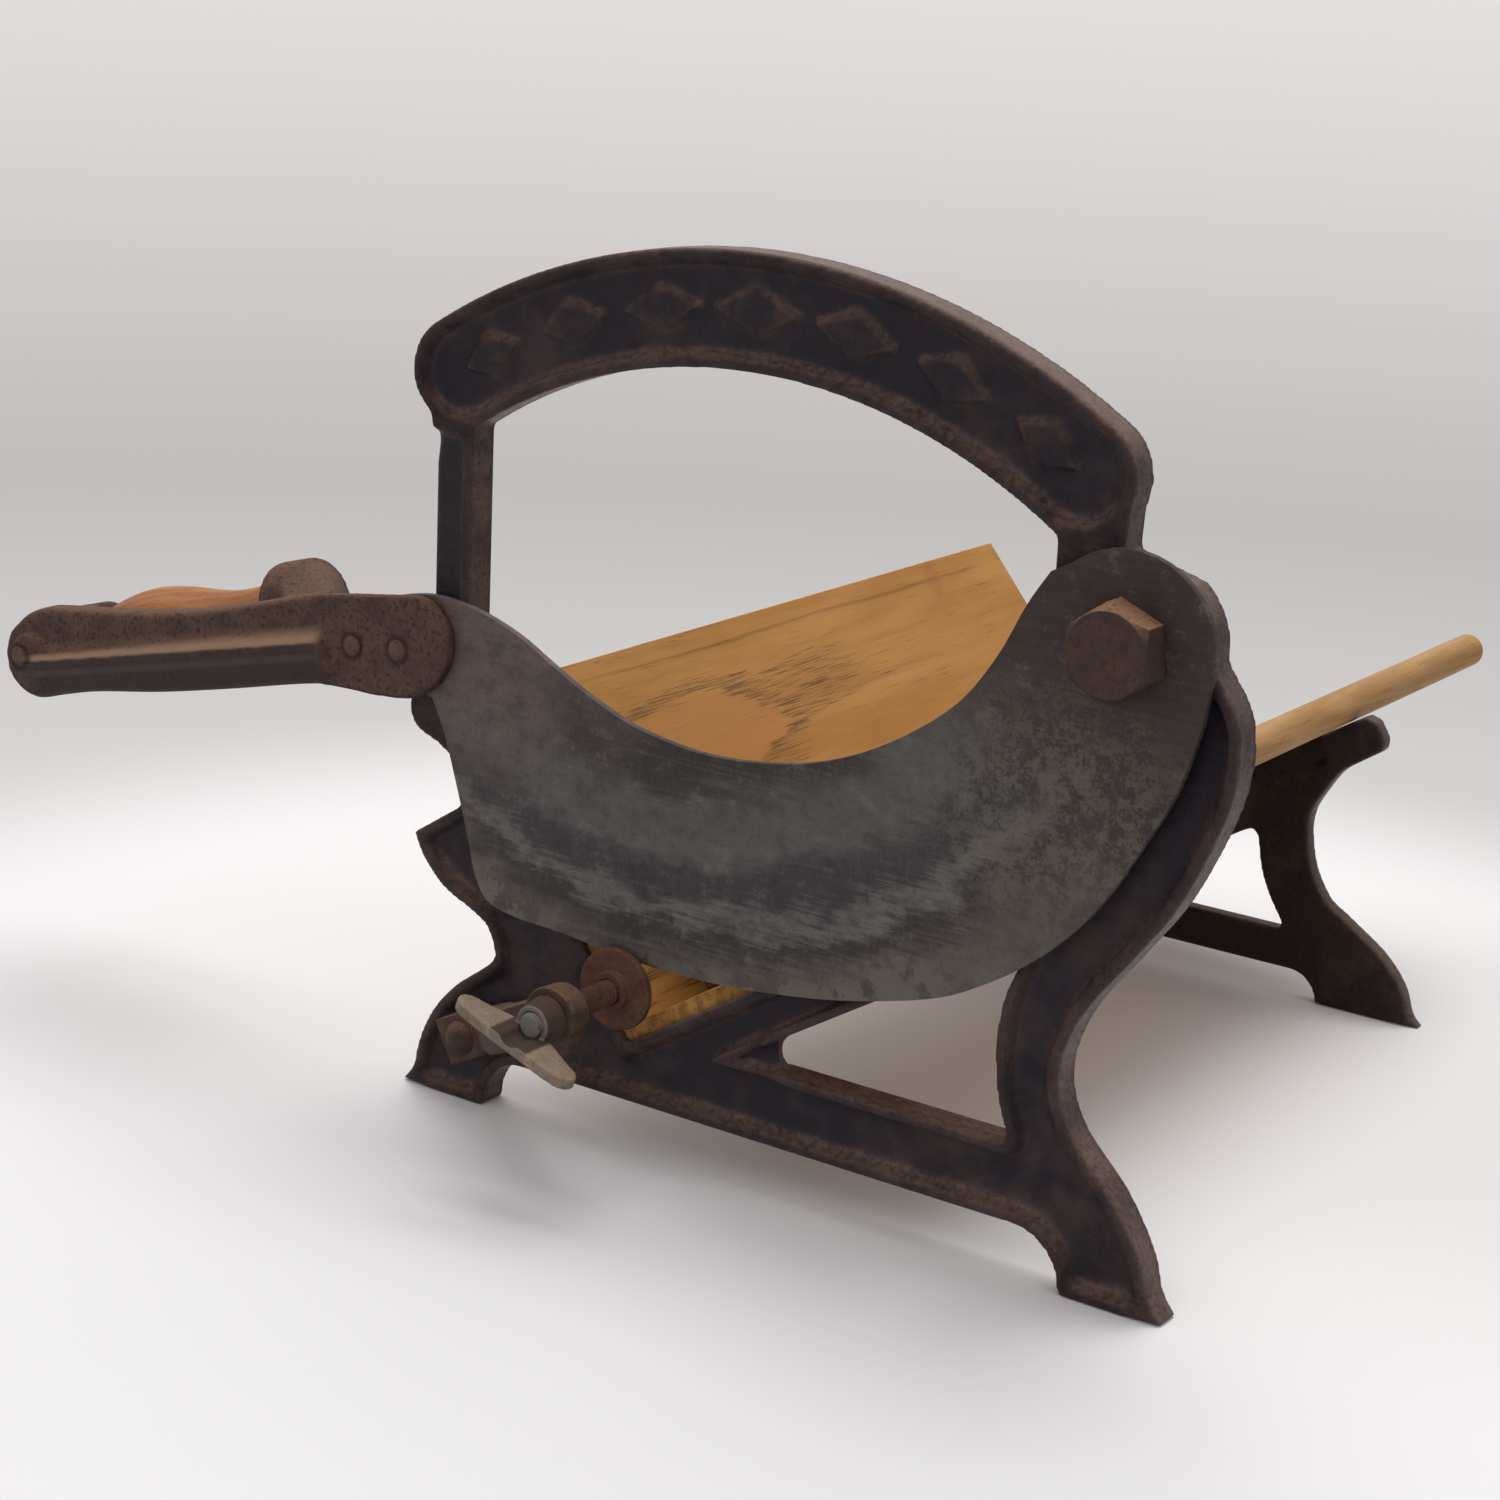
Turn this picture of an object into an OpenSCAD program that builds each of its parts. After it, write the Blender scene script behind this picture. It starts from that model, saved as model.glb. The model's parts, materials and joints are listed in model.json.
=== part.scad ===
// Bench guillotine slicer: a cast iron front frame with an arched head, a hinged blade with a
// cranked hand grip, a V trough of two boards held between the front frame and a rear stand,
// a loaf pusher on a round rod and a screw gauge that sets the slice thickness.
// X runs to the right seen from the front, Y runs back along the trough, Z is up.
// The outlines are set out from the middle of the front feet; the placing puts the origin on
// the floor below the middle of the overall box.

/* [Casting] */
// Depth of the casting front to back
frame_depth = 15; // [12:0.5:22]
// Thickness of the web between the sunk panels
web_thickness = 4.5; // [3:0.5:7]
// Width of the rim left round the sunk panels
rim_width = 4.5; // [3:0.5:7]
// Half width over the two feet
foot_reach = 171; // [150:1:190]
// Length of each foot on the floor
foot_length = 41.7; // [36:0.1:50]
// Right edge of the shoulder below the pivot, X
shoulder_right = 179.5; // [175:0.5:184]
// Height of the underside of the crossbar
bar_bottom = 21; // [14:0.5:30]
// Height of the top of the crossbar
bar_top = 49.3; // [44:0.1:56]
// Radius of the arch at each end of the crossbar's underside
bar_corner = 20; // [10:0.5:20]
// Rounding in the sharp corner of the lower window
window_corner = 7.5; // [4:0.5:12]

/* [Arch head] */
// Centre of the arch, X
arch_x = -17.6; // [-25:0.1:-10]
// Centre of the arch, Z
arch_z = 77.4; // [70:0.1:85]
// Outer radius of the arch
arch_outer = 267.5; // [255:0.5:280]
// Inner radius of the arch
arch_inner = 226; // [215:0.5:235]
// Angle from the top of the arch to the middle of each rounded end
arch_half_angle = 32.2; // [30:0.1:34]
// Inner face of the left post, X
post_inner = -141.2; // [-146:0.1:-138]
// Outer face of the left post, X
post_outer = -161.5; // [-166:0.1:-157]
// Inner edge of the right upright, X
upright_inner = 108; // [104:0.5:112]
// Outer edge of the neck above the pivot, X
neck_outer = 132; // [126:0.5:134]
// Height of the relief in the arch panel
relief = 3; // [1:0.1:4]
// Length of the middle lozenge of the relief
lozenge_length = 36; // [20:1:40]
// Width of each lozenge of the relief
lozenge_width = 17; // [8:0.5:22]

/* [Pivot] */
// Pivot, X
pivot_x = 137.4; // [130:0.1:142]
// Pivot, Z
pivot_z = 233.5; // [225:0.1:240]
// Radius of the boss round the pivot
boss_radius = 30; // [26:0.5:33]
// Radius of the pivot bolt
bolt_radius = 10; // [8:0.5:12]
// Width of the bolt head and nut across the flats
bolt_flats = 30; // [26:0.5:34]
// Height of the bolt head
bolt_head = 12.6; // [10:0.1:16]
// Turn of the hexagon of the bolt head
bolt_turn = 7.2; // [0:0.1:60]
// Thickness of the pivot nut
nut_height = 16; // [10:0.5:20]
// Radius of the plain washer behind the boss
washer_radius = 18.5; // [17.5:0.5:24]
// Thickness of the plain washer
washer_thickness = 3; // [2:0.1:4]
// Thickness of the spring washer
spring_thickness = 4; // [2.5:0.1:6]
// Width of the spring washer's ring
spring_wall = 5; // [3:0.5:7]
// Width of the cut through the spring washer
spring_slot = 2; // [1:0.5:4]
// Rounding off of the corners of the bolt head and nut
bolt_chamfer = 2.8; // [1:0.1:3.2]
// Length of bolt beyond the nut
bolt_spare = 4; // [1:0.5:10]
// Free space between the bolt and the holes it passes through
running_fit = 0.06; // [0.03:0.01:0.1]

/* [Blade and handle] */
// Thickness of the blade
blade_thickness = 3; // [2:0.1:4]
// Gap between the blade and the casting
blade_gap = 0.4; // [0.3:0.1:1]
// Gap between the blade and the underside of the bolt head
head_gap = 0.2; // [0.1:0.05:0.5]
// Radius of the blade's round end at the pivot
blade_end = 33; // [31:0.5:36]
// Middle of the handle pad from the pivot, X
pad_x = -317; // [-325:1:-310]
// Middle of the handle pad from the pivot, Z
pad_z = -56; // [-60:1:-52]
// Slope of the handle down to the left
handle_slope = 11; // [8:0.5:14]
// Thickness of the pad on the face of the blade
pad_thickness = 5; // [4:0.5:7]
// Thickness of the handle bar beyond the blade
handle_thickness = 12; // [9:0.5:16]
// Length of the handle from the middle of its pad
handle_end = 210; // [200:1:220]
// Height of the ridge along the face of the handle
ridge_height = 5; // [3:0.1:7]
// Length of the ridge
ridge_length = 166; // [150:1:170]
// Right end of the ridge from the middle of the pad
ridge_start = 24; // [22:1:30]
// Tilt of the ridge against the handle's middle line
ridge_tilt = 2; // [0:0.5:4]
// Radius of the round lobe at the far end of the handle
lobe_radius = 13; // [10:0.5:15]
// Height of the lobe
lobe_height = 2.5; // [1:0.1:4]
// Radius of the rivets
rivet_radius = 2.8; // [2:0.1:4]
// Height of the rivet heads
rivet_head = 1.8; // [1:0.1:3]
// Reach of the rivet heads beyond their shanks
rivet_brim = 1.6; // [0.5:0.1:2]

/* [Grip] */
// Distance of the grip's axis behind the front of the casting
grip_back = 32; // [28:0.5:40]
// Right end of the grip from the middle of the pad, along the handle
grip_start = 72; // [70:1:80]
// Height of the axis above the handle's middle line at the right end
grip_height = 11; // [8:0.5:14]
// Slope of the grip against the handle bar
grip_slope = 5.2; // [0:0.1:9]
// Length of the grip
grip_length = 114; // [110:1:116]
// Radius at the grip's bulge
grip_bulge = 17; // [14:0.2:17.4]
// Radius at the grip's waist
grip_waist = 10.6; // [9:0.2:13]
// Radius at the grip's right flare
grip_flare = 14.2; // [11:0.2:15]
// Radius of the steel rod through the grip
grip_rod_radius = 3; // [2:0.1:4]
// End play between the grip and its two holders
end_play = 0.5; // [0.3:0.1:2]

/* [Trough] */
// Bottom corner of the V, X
apex_x = -61; // [-66:0.5:-56]
// Bottom corner of the V, Z
apex_z = 43; // [38:0.5:46]
// Slope of the bed of the V
bed_angle = 32; // [30:0.5:34]
// Length of the seat on the front frame along the bed
seat_length = 181; // [176:0.5:184]
// Thickness of the diagonal bar below the bed
diagonal_height = 20; // [16:0.5:22]
// Thickness of the left board
left_thickness = 12; // [8:0.5:16]
// Width of the left board
left_width = 143; // [120:1:150]
// Thickness of the bed board
bed_thickness = 6; // [5:0.5:10]
// Right edge of the bed board from the bottom corner of the V
bed_reach = 148; // [130:1:149]
// Distance of the boards' front ends behind the front of the casting
board_front = 4; // [2:0.5:8]
// Rear end of the boards at the bottom corner of the V
board_rear = 402; // [370:1:420]
// Slant of the boards' rear ends
board_slant = 13.7; // [0:0.1:15]
// Radius of the wood screws
screw_radius = 1.75; // [1.5:0.05:2.5]
// Thickness of the wood screw heads
screw_head_height = 1.8; // [1:0.1:3]
// Depth of the screws in the left board
left_screw_depth = 9; // [5:0.5:10]
// Depth of the screws in the bed board
bed_screw_depth = 4.6; // [3:0.1:5]
// Front screw in the left board, up from the bottom corner
left_screw_at = 62; // [40:1:80]
// Front screw in the bed board, along the bed
bed_screw_at = 66; // [40:1:100]

/* [Rear stand] */
// Front face of the rear stand
stand_front = 331.5; // [300:0.5:350]
// Thickness of the rear stand
stand_thickness = 8.5; // [6:0.5:11]
// Right end of the stand's foot, X
stand_right = 122.5; // [110:0.5:140]
// Left end of the stand's foot, X
stand_left = -152; // [-165:0.5:-140]
// Length of each foot on the floor
stand_foot = 49.5; // [40:0.5:56]
// Radius of the arch beside each foot
stand_corner = 13; // [8:0.5:13]
// Top of the stand's crossbar
stand_bar_top = 30; // [26:0.5:34]
// Underside of the stand's crossbar
stand_bar_bottom = 12.5; // [12:0.5:18]
// Length of the stand's arm beyond the middle of the pusher's rod
arm_spare = 13.5; // [11:0.5:20]
// Middle of the slot in the arm, along the bed
slot_at = 141.3; // [136:0.1:146]
// Middle of the slot below the top of the arm
slot_drop = 10.1; // [8:0.1:12]
// Length of the slot in the arm
slot_length = 9.5; // [6:0.5:14]
// Width of the slot in the arm
slot_width = 2.2; // [1.5:0.1:4]
// Length of each lug behind the stand
lug_length = 24; // [16:1:30]
// Depth of each lug behind the stand
lug_depth = 14; // [10:0.5:18]
// Thickness of each lug
lug_thickness = 5; // [4:0.5:8]

/* [Pusher] */
// Radius of the pusher's round rod
rod_radius = 7.5; // [6:0.1:7.5]
// Gap between the bed board and the rod
rod_gap = 5; // [3:0.5:8]
// Rounding of the rod's rear end
rod_round = 3; // [1:0.5:5]
// Rear end of the rod
rod_rear = 478; // [440:1:510]
// Gap under the sliding rod and block
slide_gap = 0.35; // [0.3:0.05:0.8]
// Front face of the pusher block
block_front = 45; // [30:1:80]
// Thickness of the pusher block
block_thickness = 20; // [14:1:30]
// Height of the pusher block above the bed
block_height = 54; // [40:1:70]
// Wood of the pusher block to the right of the rod's middle
block_side = 12.5; // [11:0.5:15]
// Depth of the block's right foot below the bed
block_drop = 6; // [4:0.5:8]
// Gap between the block's right foot and the bed board
block_gap = 1.5; // [0.5:0.1:3]

/* [Gauge] */
// Axis of the gauge screw, X
gauge_x = -59.1; // [-62:0.1:-56]
// Axis of the gauge screw, Z
gauge_z = 68.3; // [65:0.1:72]
// Bracket bolt from the end of the left foot
bracket_inset = 36; // [33:0.5:39]
// Bracket bolt, Z
bracket_z = 28.5; // [26:0.5:32]
// Side of the bracket's square foot
bracket_foot = 19; // [16:0.5:20]
// Thickness of the bracket's foot
bracket_thickness = 11.5; // [9:0.5:14]
// Width of the bracket's arm
arm_width = 16; // [12:0.5:18]
// Radius of the threaded boss at its front
boss_front_radius = 11.5; // [10:0.1:13]
// Radius of the threaded boss at its back
boss_back_radius = 10.6; // [8:0.1:11]
// Drop of the boss's round chin below the screw
boss_chin = 6.5; // [4:0.5:8]
// Back of the threaded boss, in front of the casting
boss_back = 37; // [32:0.5:40]
// Front of the threaded boss, in front of the casting
boss_front = 48; // [42:0.5:54]
// Radius of the gauge screw
gauge_rod_radius = 4.8; // [4:0.1:5]
// Radius of the gauge disc
disc_radius = 15.8; // [12:0.1:18]
// Thickness of the gauge disc
disc_thickness = 3; // [2:0.1:4]
// Gap between the disc and the blade
disc_gap = 3; // [2.5:0.1:4]
// Length of the disc's collar
collar_length = 3; // [2:0.5:6]
// Wall of the disc's collar round the screw
collar_wall = 2.6; // [2:0.1:4]
// Length of gauge screw in front of the boss
gauge_spare = 11.5; // [10:0.5:20]
// Length of the wing nut's hub
hub_length = 9.5; // [8:0.5:10]
// Radius of the hub at the boss
hub_back_radius = 8.8; // [8:0.1:10]
// Radius of the hub at its front
hub_front_radius = 7.2; // [6.5:0.1:8]
// Half span of the wing nut
wing_span = 28; // [20:0.5:30]
// Reach of the wings in front of the boss
wing_reach = 22; // [16:0.5:26]
// Thickness of the wings
wing_thickness = 4.5; // [4:0.1:8]
// Distance of the wings' middle plane below the screw
wing_drop = 5; // [3.5:0.1:5.5]
// Turn of the wing nut
wing_turn = 20; // [0:1:90]
// Radius of the bracket bolt
bracket_bolt_radius = 4; // [3:0.1:5]
// Radius of the bracket bolt's domed head
bracket_bolt_head = 7; // [5:0.1:8]
// Height of the bracket bolt's domed head
bracket_bolt_dome = 4; // [2:0.5:5]
// Side of the square nut behind the web
bracket_nut_side = 13; // [11:0.5:14]
// Thickness of the square nut
bracket_nut_height = 5; // [4:0.5:6]

/* [Hidden] */
$fn = 64;
// Margin that carries a cut past the face it starts from
over = 1;
// Free space between a fixed pin or screw and its hole
pin_fit = 0.03;
panel_depth = (frame_depth - web_thickness) / 2;
blade_front = -blade_gap - blade_thickness;
pad_front = blade_front - pad_thickness;
stack_back = frame_depth + washer_thickness + spring_thickness;
bolt_length = stack_back + nut_height + bolt_spare - blade_front + head_gap;
pivot = [pivot_x, pivot_z];
foot_inner = foot_reach - foot_length;
bracket_x = bracket_inset - foot_reach;
apex = [apex_x, apex_z];
bed_way = [cos(bed_angle), sin(bed_angle)];
side_way = [-sin(bed_angle), cos(bed_angle)];
arch_middle = [arch_x, arch_z];
cap_radius = (arch_outer - arch_inner) / 2;
cap_ring = (arch_outer + arch_inner) / 2;
cap_right = arch_middle + cap_ring * [sin(arch_half_angle), cos(arch_half_angle)];
cap_left = arch_middle + cap_ring * [-sin(arch_half_angle), cos(arch_half_angle)];
stand_back = stand_front + stand_thickness;
lug_middle = stand_back + lug_depth / 2;
front_screw_y = frame_depth - panel_depth / 2;
// The screw heads sit in the sunk panel behind the seat
screw_head = panel_depth / 2 - 0.15;
rod_height = rod_radius + slide_gap;
rod_at = bed_reach + rod_gap + rod_radius;
arm_length = rod_at + arm_spare;
block_reach = rod_at + block_side;
block_back = block_front + block_thickness;
gauge = [gauge_x, gauge_z];
bracket = [bracket_x, bracket_z];
gauge_span = gauge - bracket;
gauge_reach = norm(gauge_span);
gauge_angle = atan2(gauge_span[1], gauge_span[0]);
disc_back = blade_front - disc_gap;
collar_front = disc_back - disc_thickness - collar_length;
left_edge = pivot_x + pad_x - handle_end * cos(handle_slope);
front_edge = -boss_front - slide_gap - wing_reach;
middle_x = (left_edge + shoulder_right) / 2;
middle_y = (front_edge + rod_rear) / 2;

// Point on a smooth line through four points
function along(a, b, c, d, t) =
    b + t * (c - a) / 2 + t * t * (a - 2.5 * b + 2 * c - d / 2) + t * t * t * (3 * b - a - 3 * c + d) / 2;
// Smooth line through all the points of a list
function curve(p, n = 5) = concat(
    [for (i = [0 : len(p) - 2], j = [0 : n - 1])
        along(p[max(i - 1, 0)], p[i], p[i + 1], p[min(i + 2, len(p) - 1)], j / n)],
    [p[len(p) - 1]]);
// Arc about a centre, angles from the X axis
function arc(c, r, a, b, n = 16) = [for (i = [0 : n])
    let (turn = a + (b - a) * i / n)
    c + r * [cos(turn), sin(turn)]];
// Point in the V: u along the bed, v up the left side
function in_v(u, v) = apex + u * bed_way + v * side_way;
function unit(a) = a / norm(a);
function left_of(a) = [-a[1], a[0]];
// Outline moved inwards, or outwards with a negative distance; the list runs anticlockwise
function inset(p, d) = [for (i = [0 : len(p) - 1])
    let (
        back = left_of(unit(p[i] - p[(i + len(p) - 1) % len(p)])),
        ahead = left_of(unit(p[(i + 1) % len(p)] - p[i])))
    p[i] + d * (back + ahead) / max(1 + back * ahead, 0.25)];

// Front frame, the right side from the toe up to the shoulder
right_side = curve([[foot_reach, 0], [foot_reach - 7, 8], [foot_reach - 12, 22], [foot_reach - 23.5, 40],
    [foot_reach - 40, 57], [124, 71], [123.5, 85], [131, 104.5], [148, 128], [161.5, 147.5],
    [shoulder_right - 7.5, 170], [shoulder_right - 1.5, 188], [shoulder_right, 203],
    [shoulder_right - 2.5, 217], [pivot_x + boss_radius, pivot_z - 2.5]]);
// Front frame, the left side from the ear down to the toe
left_leg = curve([[-165.5, 104.6], [-162.4, 98], [-155.9, 89.9], [-147.6, 83.8], [-136.7, 79.3],
    [-128.5, 74.4], [-124.5, 66], [-126.5, 59.5], [27.3 - foot_reach, 46.1], [16.6 - foot_reach, 33.7],
    [10.4 - foot_reach, 21.5], [6.5 - foot_reach, 8], [-foot_reach, 0]]);
// Front frame, the foot of the left post down to the notch above the ear
post_foot = curve([[post_outer, 176], [post_outer - 2.8, 165], [-169.1, 156.5], [-165.5, 147.5],
    [-154, 142.3], [-145.5, 136.5], [-141.5, 128], [-143, 119.5]]);
under_bar = concat(
    [[-foot_inner, 0]],
    arc([-foot_inner + bar_corner, bar_bottom - bar_corner], bar_corner, 180, 90, 8),
    arc([foot_inner - bar_corner, bar_bottom - bar_corner], bar_corner, 90, 0, 8),
    [[foot_inner, 0]]);
frame_outline = concat(
    under_bar,
    right_side,
    arc(pivot, boss_radius, 6, 50, 8),
    [[neck_outer, pivot_z + boss_radius]],
    arc(cap_right, cap_radius, -22, 90 - arch_half_angle - 8, 10),
    arc(arch_middle, arch_outer, 90 - arch_half_angle, 90 + arch_half_angle, 28),
    arc(cap_left, cap_radius, 90 + arch_half_angle + 8, 234, 14),
    [[post_outer, cap_left[1] - cap_radius]],
    post_foot,
    left_leg);
// The lower casting without the points of its toes, closed across the opening
toe_points = 5;
body_outline = concat(
    under_bar,
    [[right_side[toe_points][0], 0]],
    [for (i = [toe_points : len(right_side) - 1]) right_side[i]],
    [[100, 232], [-100, 150], [-143, 119.5]],
    [for (i = [0 : len(left_leg) - 1 - toe_points]) left_leg[i]],
    [[left_leg[len(left_leg) - 1 - toe_points][0], 0]]);

arch_start = asin((upright_inner - arch_x) / arch_inner);
arch_stop = asin((post_inner - arch_x) / arch_inner);
opening_outline = concat(
    [apex],
    curve([in_v(seat_length, 0), [95.5, 152], [101, 180], [106.5, 208], [upright_inner, 226]]),
    arc(arch_middle, arch_inner, 90 - arch_start, 90 - arch_stop, 28),
    curve([[post_inner, 178], [post_inner + 1.5, 161], [-130, 146], in_v(0, 98)]));

window_side = curve([[105.6, 51.7], [100.3, 67.6], [98.5, 85.6], [100.3, 101.9], [105, 114.5]]);
function below_bed(x, v) = apex_z + (x - apex_x) * tan(bed_angle) + v / cos(bed_angle);
window_tip = [apex_x + (bar_top - apex_z + diagonal_height / cos(bed_angle)) / tan(bed_angle), bar_top];
window_top = [107, below_bed(107, -diagonal_height)];
window_outline = concat([window_tip, [104, bar_top]], window_side, [window_top]);
tip_length = window_corner / tan(bed_angle / 2);
window_hole = concat(
    arc([window_tip[0] + tip_length, bar_top + window_corner], window_corner, 90 + bed_angle, 270, 10),
    [[104, bar_top]],
    window_side,
    [window_top]);

post_panel_bottom = 180;
post_panel_top = cap_left[1] - cap_radius - 2;

// Things set upright: a flat outline given as X and Z, with its front face at y
module upright(y, depth) {
    translate([0, y + depth, 0])
        rotate([90, 0, 0])
            linear_extrude(depth)
                children();
}

// A round bar along Y from y back by a length
module post(at, y, length, r) {
    translate([at[0], y + length, at[1]])
        rotate([90, 0, 0])
            cylinder(h = length, r = r);
}

// Frame of the V: X along the bed, Z up the left side
module in_trough() {
    translate([apex_x, 0, apex_z])
        rotate([0, -bed_angle, 0])
            children();
}

// Frame of the handle: X along the bar towards the blade, Z across it
module at_handle() {
    translate([pivot_x + pad_x, 0, pivot_z + pad_z])
        rotate([0, -handle_slope, 0])
            children();
}

// Frame of the grip: Z along its axis from the right end to the left
module at_grip() {
    at_handle()
        translate([-grip_start, grip_back, grip_height])
            rotate([0, -grip_slope - 90, 0])
                children();
}

// Frame of the gauge bracket: X along the arm from its bolt
module at_bracket() {
    translate([bracket_x, 0, bracket_z])
        rotate([0, -gauge_angle, 0])
            children();
}

module placed() {
    translate([-middle_x, -middle_y, 0])
        children();
}

// Sunk panels of the lower casting
module body_panels() {
    difference() {
        polygon(inset(body_outline, rim_width));
        polygon(inset(opening_outline, -rim_width));
        difference() {
            polygon(inset(window_outline, -rim_width));
            polygon(window_outline);
        }
        translate(pivot)
            circle(boss_radius);
    }
}

// Sunk panel of the left post, open to its outer side
module post_panel() {
    polygon([[post_outer - over, post_panel_bottom], [post_inner - rim_width, post_panel_bottom],
        [post_inner - rim_width, post_panel_top], [post_outer - over, post_panel_top]]);
}

// Sunk panel of the arch, with round ends
module arch_panel() {
    intersection() {
        translate(arch_middle)
            difference() {
                circle(arch_outer - rim_width, $fn = 180);
                circle(arch_inner + rim_width, $fn = 180);
            }
        polygon([arch_middle, arch_middle + 2 * (cap_right - arch_middle), arch_middle + [0, 2 * arch_outer],
            arch_middle + 2 * (cap_left - arch_middle)]);
    }
    for (cap = [cap_left, cap_right])
        translate(cap)
            circle(cap_radius - rim_width);
}

module lozenge(length) {
    polygon([[-length / 2, 0], [0, -lozenge_width / 2], [length / 2, 0], [0, lozenge_width / 2]]);
}

// Raised lozenges along the arch
module arch_relief() {
    for (step = [-3 : 3])
        translate(arch_middle)
            rotate(-step * arch_half_angle / 3.4)
                translate([0, cap_ring])
                    lozenge(lozenge_length - 3 * abs(step));
}

// Holes for the board screws through a seat, at y
module seat_holes(y) {
    in_trough() {
        translate([bed_screw_at, y, -rim_width - over])
            cylinder(h = rim_width + 2 * over, r = screw_radius + pin_fit);
        translate([-rim_width - over, y, left_screw_at])
            rotate([0, 90, 0])
                cylinder(h = rim_width + 2 * over, r = screw_radius + pin_fit);
    }
}

module front_frame() {
    color([0.14, 0.13, 0.13])
        difference() {
            union() {
                difference() {
                    upright(0, frame_depth)
                        difference() {
                            polygon(frame_outline);
                            polygon(opening_outline);
                            polygon(window_hole);
                        }
                    for (y = [-over, frame_depth - panel_depth]) {
                        upright(y, panel_depth + over)
                            body_panels();
                        upright(y, panel_depth + over)
                            post_panel();
                        upright(y, panel_depth + over)
                            arch_panel();
                    }
                }
                upright(panel_depth - relief, relief + over)
                    arch_relief();
            }
            post(pivot, -over, frame_depth + 2 * over, bolt_radius + running_fit);
            post(bracket, -over, frame_depth + 2 * over, bracket_bolt_radius + pin_fit);
            seat_holes(front_screw_y);
        }
}

stand_right_side = curve([[stand_right, 0], [stand_right - 4.9, 4.5], [stand_right - 10.3, 16.7],
    [stand_right - 21.3, 29], [82.5, 41.5], [73.6, 47.5], [66, 60], [62.7, 73], [62.4, 82],
    in_v(131, -27), in_v(147, -18.7), in_v(157, -17.2)]);
stand_left_side = curve([in_v(-19, 112), in_v(-19, 80), in_v(-19.5, 56), [-97, 62], [-98, 53], [-112.5, 41.5],
    [stand_left + 20.8, 29], [stand_left + 9.8, 16.7], [stand_left + 5, 4.5], [stand_left, 0]]);
stand_outline = concat(
    [[stand_left + stand_foot, 0]],
    arc([stand_left + stand_foot + stand_corner, stand_bar_bottom - stand_corner], stand_corner, 177, 90, 6),
    arc([stand_right - stand_foot - stand_corner, stand_bar_bottom - stand_corner], stand_corner, 90, 3, 6),
    [[stand_right - stand_foot, 0]],
    stand_right_side,
    [in_v(arm_length - 3, -16.6), in_v(arm_length, -13), in_v(arm_length, -4), in_v(arm_length - 3.5, 0)],
    [apex, in_v(0, 112)],
    stand_left_side);
stand_window = concat(
    [[-33, stand_bar_top], [54, stand_bar_top]],
    curve([[54, 33], [49.4, 39.8], [44.9, 47.9], [41.3, 57.2], [38.8, 70]]),
    [[36, 73], [31, 70.5]]);

module rear_stand() {
    color([0.1, 0.1, 0.1])
        difference() {
            union() {
                upright(stand_front, stand_thickness)
                    difference() {
                        polygon(stand_outline);
                        polygon(stand_window);
                    }
                in_trough() {
                    translate([bed_screw_at - lug_length / 2, stand_back - over, -lug_thickness])
                        cube([lug_length, lug_depth + over, lug_thickness - pin_fit]);
                    translate([-lug_thickness, stand_back - over, left_screw_at - lug_length / 2])
                        cube([lug_thickness - pin_fit, lug_depth + over, lug_length]);
                }
            }
            seat_holes(lug_middle);
            in_trough()
                translate([slot_at - slot_length / 2, stand_front - over, -slot_drop - slot_width / 2])
                    cube([slot_length, stand_thickness + 2 * over, slot_width]);
        }
}

module left_board() {
    color([0.62, 0.42, 0.2])
        in_trough()
            difference() {
                rotate([90, 0, 90])
                    linear_extrude(left_thickness)
                        polygon([[board_front, 0], [board_rear, 0],
                            [board_rear - left_width * tan(board_slant), left_width],
                            [board_front, left_width]]);
                for (y = [front_screw_y, lug_middle])
                    translate([-over, y, left_screw_at])
                        rotate([0, 90, 0])
                            cylinder(h = left_screw_depth + over, r = screw_radius + pin_fit);
            }
}

module bed_board() {
    color([0.6, 0.4, 0.2])
        in_trough()
            difference() {
                translate([left_thickness, board_front, 0])
                    cube([bed_reach - left_thickness, board_rear - board_front, bed_thickness]);
                for (y = [front_screw_y, lug_middle])
                    translate([bed_screw_at, y, -over])
                        cylinder(h = bed_screw_depth + over, r = screw_radius + pin_fit);
            }
}

// A wood screw along Z with its head below, its shank passing a seat of the given thickness
module wood_screw(seat, depth) {
    translate([0, 0, -seat - screw_head_height])
        cylinder(h = screw_head_height, r = screw_head);
    translate([0, 0, -seat])
        cylinder(h = seat + depth - pin_fit, r = screw_radius);
}

module left_board_screws() {
    color([0.45, 0.4, 0.35])
        in_trough()
            for (place = [[front_screw_y, rim_width], [lug_middle, lug_thickness]])
                translate([0, place[0], left_screw_at])
                    rotate([0, 90, 0])
                        wood_screw(place[1], left_screw_depth);
}

module bed_screws() {
    color([0.45, 0.4, 0.35])
        in_trough()
            for (place = [[front_screw_y, rim_width], [lug_middle, lug_thickness]])
                translate([bed_screw_at, place[0], 0])
                    wood_screw(place[1], bed_screw_depth);
}

block_left = left_thickness + slide_gap;
block_bottom = bed_thickness + slide_gap;
block_foot = bed_reach + block_gap;
block_top = block_bottom + block_height;
pusher_screw_y = block_front + block_thickness / 2;

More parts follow.
